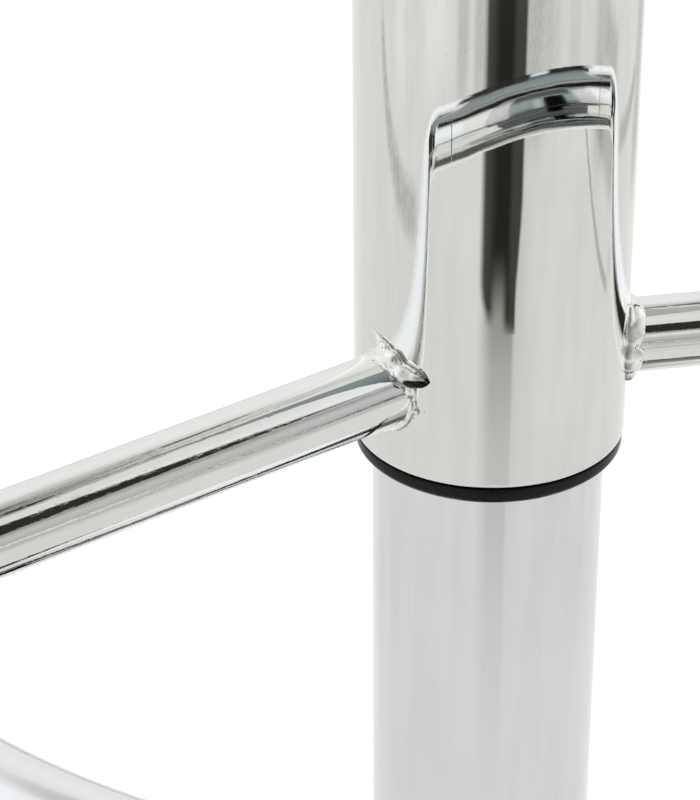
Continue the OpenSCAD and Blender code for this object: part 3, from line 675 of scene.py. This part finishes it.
# Rows of a bead are (degrees round the tube, height, reach). Points of a trail are
# (degrees round the column, height above the floor, lift off the sleeve, radius, flatness).
LEFT_BEAD = [(0, 2.4, 1.3), (14, 1.2, 0.9), (35, 0.6, 0.6), (90, 0.5, 0.6), (150, 0.8, 0.9),
             (185, 1.2, 1.3), (215, 1.3, 1.2), (245, 1.0, 0.9), (275, 0.9, 0.9), (295, 1.3, 1.3),
             (318, 2.5, 1.7), (340, 3.2, 1.8)]
LEFT_TRAILS = [
    [(-173.5, 319.2, 0.0, 0.18, 0.6), (-169.5, 319.4, 0.1, 0.45, 0.6), (-166.0, 318.6, 0.3, 1.0, 0.7),
     (-161.6, 317.3, 0.5, 1.7, 0.7), (-158.0, 315.6, 0.8, 1.7, 0.8), (-155.2, 313.2, 1.3, 1.3, 1.0),
     (-154.6, 311.0, 1.9, 0.9, 1.0)],
    [(-151.4, 313.6, 0.9, 2.4, 0.8), (-147.4, 313.4, 0.8, 2.1, 0.75), (-144.0, 313.1, 0.6, 1.4, 0.7),
     (-141.2, 313.0, 0.4, 0.55, 0.7)],
    [(-151.2, 309.4, 1.2, 1.2, 0.9), (-151.4, 306.6, 1.2, 1.15, 0.9), (-153.2, 303.8, 1.1, 1.2, 0.9)],
    [(-148.6, 307.0, -0.1, 1.3, 0.5), (-146.4, 305.6, -0.1, 1.0, 0.5)],
    [(-156.0, 301.2, 0.6, 1.1, 0.8), (-161.0, 299.2, 0.5, 1.1, 0.8), (-165.5, 298.6, 0.3, 0.8, 0.8)],
    [(-140.3, 308.4, 0.0, 0.24, 0.8)], [(-142.5, 305.9, 0.0, 0.32, 0.8)], [(-146.9, 303.4, 0.0, 0.28, 0.8)],
    [(-144.6, 309.6, 0.0, 0.2, 0.8)]]
RIGHT_BEAD = [(0, 1.3, 2.3), (40, 1.2, 1.6), (90, 1.3, 1.3), (150, 1.6, 0.8), (182, 2.0, 0.7),
              (205, 1.8, 0.9), (228, 1.6, 1.7), (252, 1.6, 2.9), (270, 1.5, 3.2), (284, 1.2, 2.6),
              (300, 1.6, 3.2), (335, 1.5, 3.0)]
RIGHT_TRAILS = [
    [(-26.5, 317.6, 0.2, 0.8, 0.8), (-29.0, 315.2, 0.2, 0.9, 0.7), (-30.0, 312.0, 0.0, 0.7, 0.6)],
    [(-31.4, 308.0, -0.2, 0.9, 0.7), (-29.6, 304.6, 0.0, 1.3, 0.7), (-27.4, 301.6, 0.0, 1.0, 0.7)],
    [(-40.0, 312.6, 0.0, 0.3, 0.8)], [(-38.6, 303.6, 0.0, 0.25, 0.8)]]


# Seat

FLAT_R, BOWL_R, SHELL_T = 58.0, 180.0, 4.5
RIM_FRONT, RIM_BACK, SWEEP_R, SWEEP_Y, ARCH_R = 28.0, 172.0, 400.0, -140.0, 260.0
RIB_T, RIB_IN, RIB_FOOT, RIB_OUT, RIB_LOW, RIB_HIGH, RIB_BITE = 2.5, 15.25, 92.5, 150, -8.4, 20, 2
RINGS = [(14, 16.5, 3, 64), (87.5, 90, 4.6, 160)]  # inner and outer radius, top, and steps
RING_LOW, BOSS_R, BOSS_LOW, BOSS_TOP, BOLT_X, BOLT_Y = -7.8, 7.5, -9, 3, 60, 55


def under_rim(x, y, z):
    """Whether a point of the bowl is below its trimmed rim."""
    sweep = (y - SWEEP_Y) ** 2 + (z - RIM_FRONT - SWEEP_R) ** 2 >= SWEEP_R ** 2
    return sweep and z <= RIM_BACK - ARCH_R + math.sqrt(max(ARCH_R ** 2 - x * x, 0))


def rim_turn(around):
    """How far up its curved wall the bowl reaches in one direction, as an angle."""
    lo, hi = 0.0, math.pi / 2
    for _ in range(40):
        middle = (lo + hi) / 2
        r = FLAT_R + BOWL_R * math.sin(middle)
        inside = under_rim(r * math.cos(around), r * math.sin(around), BOWL_R * (1 - math.cos(middle)))
        lo, hi = (middle, hi) if inside else (lo, middle)
    return lo


def rim_reach(around):
    """Length of the section in one direction, eased so that the rim's two trims meet in a soft corner."""
    spread = [(-12, 1), (-8, 2), (-4, 3), (0, 4), (4, 3), (8, 2), (12, 1)]
    turn = sum(share * rim_turn(around + math.radians(off)) for off, share in spread) / 16
    return FLAT_R + BOWL_R * min(turn, rim_turn(around))


def shell_point(along, out):
    """A point of the section: distance along the bowl's outer face, and how far it stands out from it."""
    if along <= FLAT_R:
        return along, -out
    turn = (along - FLAT_R) / BOWL_R
    return FLAT_R + (BOWL_R + out) * math.sin(turn), BOWL_R - (BOWL_R + out) * math.cos(turn)


def shell_section():
    """The section as (share of the way to the rim, distance back from the rim, stand-out)."""
    steps = 44
    outer = [(i / steps, 10.5, 0.0) for i in range(steps + 1)]
    band = [(1, 9.6, 0.25), (1, 9.0, 1.2), (1, 8.4, 2.1), (1, 7.6, 2.5), (1, 4.5, 2.5)]
    turn = [math.radians(90 - 180 * i / 12) for i in range(13)]
    lip = [(1, 3.5 - 3.5 * math.cos(a), -1.0 + 3.5 * math.sin(a)) for a in turn]
    inner = [(1 - i / steps, 6.0, -SHELL_T) for i in range(steps + 1)]
    return outer + band + lip + inner


def add_rib(bm, turn):
    """One stiffening rib, from the inner ring out to the bowl's wall."""
    under = [(RIB_IN, RIB_LOW), (RIB_FOOT, RIB_LOW), (RIB_OUT, RIB_HIGH)]
    top = [(r, BOWL_R - math.sqrt(BOWL_R ** 2 - max(r - FLAT_R, 0) ** 2) + RIB_BITE)
           for r in (RIB_OUT, 130, 110, 90, 74, FLAT_R, RIB_IN)]
    verts = [bm.verts.new((r, -RIB_T / 2, z)) for r, z in under + top]
    moved = ring_verts(bmesh.ops.extrude_face_region(bm, geom=[bm.faces.new(verts)])["geom"])
    bmesh.ops.translate(bm, vec=(0, RIB_T, 0), verts=moved)
    bmesh.ops.rotate(bm, cent=(0, 0, 0), matrix=Matrix.Rotation(turn, 3, "Z"), verts=verts + moved)


def add_tube(bm, centre, inner, outer, bottom, top, steps):
    """A short upright tube, as a ring under the shell or a boss round an insert."""
    before = set(bm.verts)
    corners = ((inner, bottom), (outer, bottom), (outer, top), (inner, top))
    verts = [bm.verts.new((r, 0, z)) for r, z in corners]
    edges = [bm.edges.new((verts[i], verts[(i + 1) % 4])) for i in range(4)]
    spin_full(bm, verts + edges, steps)
    bmesh.ops.translate(bm, vec=(*centre, 0), verts=[v for v in bm.verts if v not in before])


def make_seat():
    """The bowl: spun with each point of its section a step further out, then moved to its place."""
    section = shell_section()
    bm = bmesh.new()
    verts = [bm.verts.new((i + 1.0, 0, 0)) for i in range(len(section))]
    for a, b in zip(verts, verts[1:]):
        bm.edges.new((a, b))
    spin_full(bm, bm.verts[:] + bm.edges[:], 224)
    reach = {}
    for v in bm.verts:
        around = math.atan2(v.co.y, v.co.x)
        key = round(around, 5)
        if key not in reach:
            reach[key] = rim_reach(around)
        share, back, out = section[round(math.hypot(v.co.x, v.co.y)) - 1]
        r, z = shell_point(share * (reach[key] - back), out)
        v.co = (r * math.cos(around), r * math.sin(around), z)
    bmesh.ops.remove_doubles(bm, verts=bm.verts, dist=0.001)
    for i in range(8):
        add_rib(bm, math.pi / 4 * i)
    for inner, outer, top, steps in RINGS:
        add_tube(bm, (0, 0), inner, outer, RING_LOW, top, steps)
    for x in (-BOLT_X, BOLT_X):
        for y in (-BOLT_Y, BOLT_Y):
            add_tube(bm, (x, y), INSERT_R + PRESS_GAP, BOSS_R, BOSS_LOW, BOSS_TOP, 48)
    bmesh.ops.translate(bm, vec=(0, 0, SHELL_Z), verts=bm.verts)
    finished(bm, "seat_moulding", SEAT, "seat_plastic", "carriage", "seat_shell")


# Lever

GRIP_START, GRIP_END, THIN_R, THICK_R, BORE_END = 14, 65, 5.5, 7.0, 50.1
GROOVES_START, GROOVES_END, GROOVE_PITCH, GROOVE_HALF, GROOVE_DEPTH = 22, 58, 9.0, 1.4, 0.55


def lever_tip():
    """Turns what is drawn along Z onto the lever's bent end."""
    bend = math.radians(LEVER_BEND)
    along, drop_scale_and_reflection = LEVER_BEND_R * math.sin(bend), LEVER_BEND_R * (1 - math.cos(bend))
    spot = Matrix.Translation((LEVER_REACH + along, 0, LEVER_Z - drop_scale_and_reflection))
    return Matrix.Diagonal((-1, 1, 1, 1)) @ spot @ Matrix.Rotation(math.pi / 2 + bend, 4, "Y")


def make_grip():
    """Tapered hand grip with four finger grooves and a round end."""
    first, bore = GRIP_START + 0.4, LEVER_R + PRESS_GAP
    outer = []
    for i in range(57):
        z = first + i * 0.88
        r = THIN_R + (THICK_R - THIN_R) * (z - GRIP_START) / (GRIP_END - GRIP_START)
        if GROOVES_START < z < GROOVES_END:
            off = abs((z - GROOVES_START) % GROOVE_PITCH - GROOVE_PITCH / 2)
            groove = max(0.0, 1 - off / GROOVE_HALF)
            r -= GROOVE_DEPTH * math.sin(groove * math.pi / 2) ** 2
        outer.append((r, z))
    tip = arc((0, GRIP_END), THICK_R, 8, 90, 14)
    section = [(bore, first)] + outer + tip + [(0, BORE_END), (bore, BORE_END)]
    bm = spun(section, [], 72)
    bmesh.ops.transform(bm, matrix=lever_tip(), verts=bm.verts)
    finished(bm, "lever_grip_moulding", BLACK_GRIP, "black_grip", "lever", "lever_grip", sharp=50)


# Solids that keep their shape

KEPT = [
    (BALLAST, "ballast_plate"), (CHROME, "lever_rod"), (FLOOR_RUBBER, "rubber_buffer"),
    (PAINT, "column_flange gas_cylinder taper_socket seat_pan lever_bracket"),
    (ZINC, "flange_bolts flange_washers flange_nuts rod_washer rod_clip bar_spigots lever_pin"),
    (ZINC, "seat_bolts seat_washers"), (NYLON, "guide_bush rod_guide"),
    (GROUND, "bearing_lower_race bearing_upper_race piston_rod piston"),
    (BRASS, "bearing_cage valve_pin thread_inserts")]


def finish_solids():
    for finish, names in KEPT:
        for name in names.split():
            mesh = nodes[name].data
            mesh.materials.clear()
            mesh.materials.append(finish)


# Room

WHITE = (1.0, 1.0, 1.0, 1.0)
FLOOR_TONE = (0.8, 0.8, 0.8, 1.0)
FLOOR_R, CARD_R, CARD_LIFT = 8.0, 1.15, 0.0004
STAND_AWAY, STAND_TALL = 0.64, 0.9


def on_stage(bm, name, material, hidden_from=()):
    """Puts a mesh into the room, outside the stool, unseen by some kinds of ray."""
    thing = into_scene(bm, name, material)
    for ray in hidden_from:
        setattr(thing, "visible_" + ray, False)


def light_path(finish):
    """Whether a ray comes from the camera, off a mirror, off a second mirror and off a third, each 0 or 1."""
    path = finish.node("LightPath")
    seen = finish.value(path, "Is Camera Ray")
    mirrored = finish.value(path, "Is Glossy Ray") + finish.value(path, "Is Transmission Ray")
    depth = finish.value(path, "Glossy Depth")
    return seen, mirrored, finish.ramp(depth, 1.3, 1.7), finish.ramp(depth, 2.3, 2.7)


def later_level(again, deep):
    """How bright the floor and cards are in a second and third mirror, beside the first."""
    return 1 + again * 0.5 - deep * 1.2


def floor_material():
    """Pale floor that reads white to the eye and in the chrome, apart from painted shade far ahead and behind
    that only the chrome sees, and keeps the stool's shadow.
    """
    finish = Finish("studio_floor")
    seen, mirrored, again, deep = light_path(finish)
    parts = finish.node("SeparateXYZ", Vector=finish.place())
    x, y = finish.value(parts, "X"), finish.value(parts, "Y")
    away = (x * x + y * y) ** 0.5
    # Painted shade: in the chrome the floor is darker far ahead of the stool and behind it.
    painted_far_shade = finish.ramp(away, 0.95, 1.75) * finish.ramp(y, -0.1, -0.6) * 0.38
    painted_far_shade += finish.ramp(y, 0.2, 0.9) * 0.14
    matt = finish.node("BsdfDiffuse", Color=FLOOR_TONE)
    glow = finish.node("Emission", Color=WHITE, Strength=(seen + mirrored) * 0.4)
    both = finish.node("AddShader")
    bright = finish.node("Emission", Color=WHITE,
                         Strength=(1.02 - painted_far_shade * mirrored) * later_level(again, deep))
    mix = finish.node("MixShader", Fac=mirrored * 0.8 + seen * finish.ramp(away, 1.0, 3.0))
    finish.wire_up((matt, both.inputs[0]), (glow, both.inputs[1]), (both, mix.inputs[1]),
                   (bright, mix.inputs[2]), (mix, finish.output.inputs[0]))
    return finish.material


def make_floor():
    bm = bmesh.new()
    bmesh.ops.create_circle(bm, cap_ends=True, radius=FLOOR_R, segments=64)
    on_stage(bm, "studio_floor", floor_material())


CAMERA_SPOT = Vector((-216.9, -455.4, 579.43)) * MM
CAMERA_SIDE = math.atan2(CAMERA_SPOT.y, CAMERA_SPOT.x)


def band(finish, value, start, end, soft):
    """1 between two values, easing to 0 over a soft edge outside them."""
    return finish.ramp(value, start - soft, start) * finish.ramp(value, end + soft, end)


def card_material(name, build, tint):
    """Card that only the chrome sees. build gives its tone and cover at a place in the room: x, y, z and
    away from the column in millimetres, and turn round it in degrees from the photograph's bearing."""
    finish = Finish(name)
    again, deep = light_path(finish)[2:]
    spot = finish.node("TexCoord").outputs["Object"]
    level = finish.node("SeparateXYZ", Vector=spot)
    x, y, z = (finish.value(level, axis) / MM for axis in "XYZ")
    turned_spot = finish.node("VectorRotate", {"rotation_type": "Z_AXIS"}, Vector=spot, Angle=-CAMERA_SIDE)
    ahead = finish.node("SeparateXYZ", Vector=turned_spot.outputs[0])
    turn = x.math("ARCTAN2", finish.value(ahead, "Y"), finish.value(ahead, "X")) * (180 / math.pi)
    away = (x * x + y * y) ** 0.5
    tone, cover = build(finish, {"x": x, "y": y, "z": z, "turn": turn, "away": away, "again": again})
    glow = finish.node("Emission", Color=tint, Strength=tone * later_level(again, deep))
    clear = finish.node("BsdfTransparent")
    mix = finish.node("MixShader", Fac=cover)
    finish.wire_up((clear, mix.inputs[1]), (glow, mix.inputs[2]), (mix, finish.output.inputs[0]))
    return finish.material


ALL_BUT_CHROME = ("camera", "diffuse", "shadow", "transmission", "volume_scatter")


def stand_tones(finish, at):
    """A dark stand: dark tones side by side, on two pointed feet, with the floor between them in painted
    shadow that lightens towards the floor line.
    """
    turn, z = at["turn"], at["z"]
    off = turn - 5.4
    shadowed_gap = finish.ramp(off.math("ABSOLUTE", off, 0), 8.2, 1.5) * finish.ramp(z, 64, 30)
    tone = 0.025 + finish.ramp(turn, 4, -6) * 0.06 + finish.ramp(turn, 11, 16) * 0.05
    tone += finish.ramp(z, 130, 260) * 0.05
    # Painted shadow: between the feet the floor shows dark, lighter towards the floor line.
    tone = tone * (1 - shadowed_gap) + (finish.ramp(z, 58, 2) ** 2 * 0.42 + 0.02) * shadowed_gap
    tone = tone * (1 - at["again"] * 0.6)
    left_edge = finish.ramp(turn - finish.ramp(z, 26, 6) * 4, -11, -5.5)
    right_edge = finish.ramp(turn + finish.ramp(z, 72, 14) * 3.6, 24, 21.2)
    return tone, left_edge * right_edge * finish.ramp(z + off * 0.35, -1, 11)


def make_stand_card():
    bm = bmesh.new()
    bmesh.ops.create_circle(bm, radius=STAND_AWAY, segments=180)
    out = bmesh.ops.extrude_edge_only(bm, edges=bm.edges[:])["geom"]
    bmesh.ops.translate(bm, vec=(0, 0, STAND_TALL), verts=ring_verts(out))
    tones = card_material("stand_card", stand_tones, (1.0, 1.0, 0.88, 1.0))
    on_stage(bm, "stand_card", tones, ALL_BUT_CHROME)


# Far streaks are (turn, half width in degrees, distance where they start, strength), and sheet edges
# are (x, half width, start and end along y, strength).
STREAKS = [(-13, 5, 860, 0.3), (-26, 5, 850, 0.24), (-48, 12, 870, -0.13), (-80, 6, 850, -0.12),
           (25, 17, 800, 0.34), (44, 6, 880, 0.14), (62, 6, 880, 0.12), (88, 7, 760, 0.26),
           (148, 9, 720, 0.3)]
SHEET_EDGES = [(659, 14, -640, -60, 0.36), (690, 30, -150, -20, 0.2), (800, 75, -470, -60, 0.28),
               (930, 80, -430, -90, 0.26), (838, 34, -40, 420, 0.3)]


def floor_mark(finish, at, line, width, start, end, strength):
    """A soft dark line along Y on the floor, where x is about line, from start to end."""
    off = at["x"] - line
    across = finish.ramp(off.math("ABSOLUTE", off, 0), width, width * 0.2)
    ends = finish.ramp(at["y"], start, start + 90) * finish.ramp(at["y"], end, end - 90)
    return across * ends * strength


def floor_tones(finish, at):
    """Greys on the floor: the stand's soft shadow, far streaks, the edges of sheets, and the shade below
    the stool in a second mirror."""
    turn, away, x, y = at["turn"], at["away"], at["x"], at["y"]
    shadow = finish.ramp(turn, 19.5, 16) * 0.6 + finish.ramp(turn, 40, 14) * 0.4
    shadow = finish.ramp(turn, -13, 3) * shadow
    depth = (finish.ramp(away, 250, 380) * 0.09 + finish.ramp(away, 380, 500) * 0.14
             + finish.ramp(away, 520, 610) * 0.17 + finish.ramp(away, 600, 645) * 0.14)
    far_off = 0.0
    for middle, half, start, strength in STREAKS:
        streak = band(finish, turn, middle - half * 0.3, middle + half * 0.3, half)
        far_off = streak * finish.ramp(away, start, start + 110) * strength + far_off
    grit = finish.ramp(finish.grain(60.0, 4.0, 0.7), 0.3, 0.7)
    bend = (y.math("MAXIMUM", y, 338) - 338) / 221
    marks = floor_mark(finish, at, -756 - bend * bend * 39, 52, -60, 640, 0.34)
    marks = marks * (0.45 + grit * 0.75)
    for line, width, start, end, strength in SHEET_EDGES:
        marks = marks + floor_mark(finish, at, line, width, start, end, strength)
    soft = finish.ramp(finish.grain(7.0, 3.0, 0.5), 0.35, 0.7) * 0.05
    beside = 1 - finish.ramp(turn, -20, -8) * finish.ramp(turn, 34, 24)
    dark = shadow * depth * finish.ramp(away, 970, 720) + (marks + soft) * beside
    dark += far_off * (0.6 + grit * 0.5)
    under = finish.ramp(away, 480, 240) * finish.ramp(x.math("ABSOLUTE", x, 0), 230, 150)
    dark += at["again"] * under * (0.4 + finish.ramp(y, -240, -200) * 0.45)
    return 1 - dark, 1.0


def make_floor_card():
    bm = bmesh.new()
    bmesh.ops.create_circle(bm, cap_ends=True, radius=CARD_R, segments=96,
                            matrix=Matrix.Translation((0, 0, CARD_LIFT)))
    tones = card_material("floor_card", floor_tones, (1.0, 1.0, 0.985, 1.0))
    on_stage(bm, "floor_card", tones, ALL_BUT_CHROME)


def grey(tone):
    return (tone, tone, tone)


def cool(tone):
    """A bluish grey, for what is mirrored again."""
    return (tone * 0.84, tone, tone * 1.02)


def elevation(degrees):
    """Place of an elevation on a ramp that runs from straight down to straight up."""
    return (degrees + 90) / 180


# Tones that the chrome sees, each at an elevation in degrees
FRONT_WALL = [(-12, grey(0.8)), (-5, grey(0.6)), (6, grey(0.66)), (14, grey(0.76)), (20, grey(0.72)),
              (28, grey(0.45)), (33, grey(0.8)), (38, grey(1.18)), (48, grey(1.12)), (56, grey(1.0)),
              (66, grey(1.08)), (78, grey(0.95)), (88, grey(0.6))]
BACK_WALL = [(-10, grey(1.0)), (5, grey(1.08)), (40, grey(1.18)), (52, grey(1.1)), (57, grey(0.82)),
             (63, grey(0.78)), (67, grey(1.0)), (75, grey(1.1)), (88, grey(0.6))]
SIDE_WALL = [(-10, grey(0.95)), (10, (1.1, 1.14, 1.2)), (30, (1.28, 1.33, 1.4)), (45, (1.26, 1.3, 1.36)),
             (56, grey(1.05)), (88, grey(0.8))]
FRONT_AGAIN = [(-8, cool(0.03)), (37, cool(0.03)), (45, cool(0.18)), (58, cool(0.38)), (88, cool(0.45))]
DEEP_WALL = [(-10, cool(0.15)), (2, cool(0.28)), (14, cool(0.75)), (34, cool(0.85)), (46, cool(0.2)),
             (88, cool(0.2))]
STRIP = (0.042, 0.036, 0.03)


def make_world():
    """White room. Chrome sees a soft ceiling, bright flanks, a grey front with a dark strip and a glint,
    and a dark beam behind. In a second and third mirror the walls are darker, round one small lamp.
    height is an elevation and side a turn from the front."""
    world = bpy.data.worlds.new("studio")
    scene.world = world
    finish = Finish(world)
    parts = finish.node("SeparateXYZ", Vector=finish.node("TexCoord").outputs["Generated"])
    x, y, z = (finish.value(parts, axis) for axis in "XYZ")
    height = z.math("ARCSINE", z, 0) * (180 / math.pi)
    side = x.math("ARCTAN2", x, -1.0 * y) * (180 / math.pi)
    front, back, flank, front_again, deep_wall = (
        finish.node("ValToRGB", {"stops": [(elevation(d), tone) for d, tone in wall]},
                    Fac=(height + 90) / 180).outputs[0]
        for wall in (FRONT_WALL, BACK_WALL, SIDE_WALL, FRONT_AGAIN, DEEP_WALL))
    seen, mirrored, again, deep = light_path(finish)
    ahead = finish.ramp(y, 0.12, -0.12)
    flanks = band(finish, side, 68 - again * 10, 114, 8) + band(finish, side, -118, again * 26 - 84, 8)
    flanks = flanks * (1 - again * finish.ramp(height, 46, 58) * 0.7)
    glint = band(finish, height, 18, 22, 4) * finish.ramp(side, 34, 14)
    strip_height = height - finish.ramp(side, 40, 50) * 4
    strip = band(finish, strip_height, 30, 50, 2) * band(finish, side, -55, 48.5, 3)
    lamp = band(finish, height, 8, 32, 8) * band(finish, side, 3, 12, 5)
    beam = band(finish, height, 58, 66, 2) * band(finish, side, 114, 136, 3)
    room = finish.blend(ahead, back, front)
    room = finish.blend(beam, room, grey(0.2))
    room = finish.blend(glint * 0.5, room, grey(1.35))
    room = finish.blend(strip, room, STRIP)
    room = finish.blend(again * band(finish, side, -42, 43, 8), room, front_again)
    room = finish.blend(again * lamp, room, cool(1.0))
    room = finish.blend(deep * (1 - lamp) * 0.9, room, deep_wall)
    room = finish.blend(flanks, room, flank)
    above = again * finish.ramp(height, 62, 72) * finish.ramp(side.math("ABSOLUTE", side, 0), 42, 60)
    room = finish.blend(above, room, grey(0.18))
    matt = 1 - (seen + mirrored)
    light = finish.node("Background", Color=finish.blend(mirrored, WHITE, room),
                        Strength=(1 - matt * 0.52) * (1 + again * 0.45))
    finish.wire_up((light, finish.output.inputs[0]))


# Name, place and width in metres, and power in watts
LAMPS = [("key_softbox", (-1.6, -2.0, 2.6), 1.8, 42), ("fill_softbox", (2.2, -0.8, 2.2), 1.8, 24),
         ("back_softbox", (0.3, 2.4, 2.4), 1.8, 22)]
LAMP_TARGET = Vector((0, 0, 0.4))


def soft_lamp(name, spot, size, power):
    light = bpy.data.lights.new(name, "AREA")
    light.shape = "DISK"
    light.size = size
    light.energy = power
    lamp = bpy.data.objects.new(name, light)
    lamp.location = spot
    lamp.rotation_euler = (LAMP_TARGET - Vector(spot)).to_track_quat("-Z", "Y").to_euler()
    lamp.visible_glossy = False
    scene.collection.objects.link(lamp)


AHEAD, PITCH, ROLL, LENS, SENSOR = (0.376, 0.927, 0), 29.48, 0.353, 121.35, 36.0


def make_camera():
    """The photograph's camera, found from the column, the ring and the footrest."""
    flat = Vector(AHEAD).normalized()
    pitch, roll = math.radians(PITCH), math.radians(ROLL)
    ahead = flat * math.cos(pitch) - Vector((0, 0, math.sin(pitch)))
    right = ahead.cross(Vector((0, 0, 1))).normalized()
    up = right.cross(ahead)
    across, tall = right, up
    right = across * math.cos(roll) - tall * math.sin(roll)
    up = across * math.sin(roll) + tall * math.cos(roll)
    data = bpy.data.cameras.new("photo_camera")
    data.lens = LENS
    data.sensor_width = SENSOR
    data.clip_start = 0.01
    camera = bpy.data.objects.new("photo_camera", data)
    camera.matrix_world = Matrix((right, up, -ahead)).transposed().to_4x4()
    camera.location = CAMERA_SPOT
    scene.collection.objects.link(camera)
    scene.camera = camera


make_camera()
make_world()
make_floor()
make_stand_card()
make_floor_card()
for lamp_row in LAMPS:
    soft_lamp(*lamp_row)

finish_solids()
make_sleeve()
make_lower_column()
make_glide_ring()
make_sleeve_cap()
make_base_cover()
make_column_collar()
make_floor_ring()
make_arm(-1, "footrest_left_tube", "footrest_arm_left")
make_arm(1, "footrest_right_tube", "footrest_arm_right")
make_foot_bar()
make_weld(-1, "weld_left_bead", "weld_left", LEFT_BEAD, LEFT_TRAILS, 3.0)
make_weld(1, "weld_right_bead", "weld_right", RIGHT_BEAD, RIGHT_TRAILS, 11.0)
make_seat()
make_grip()

scene.view_settings.view_transform = "Standard"
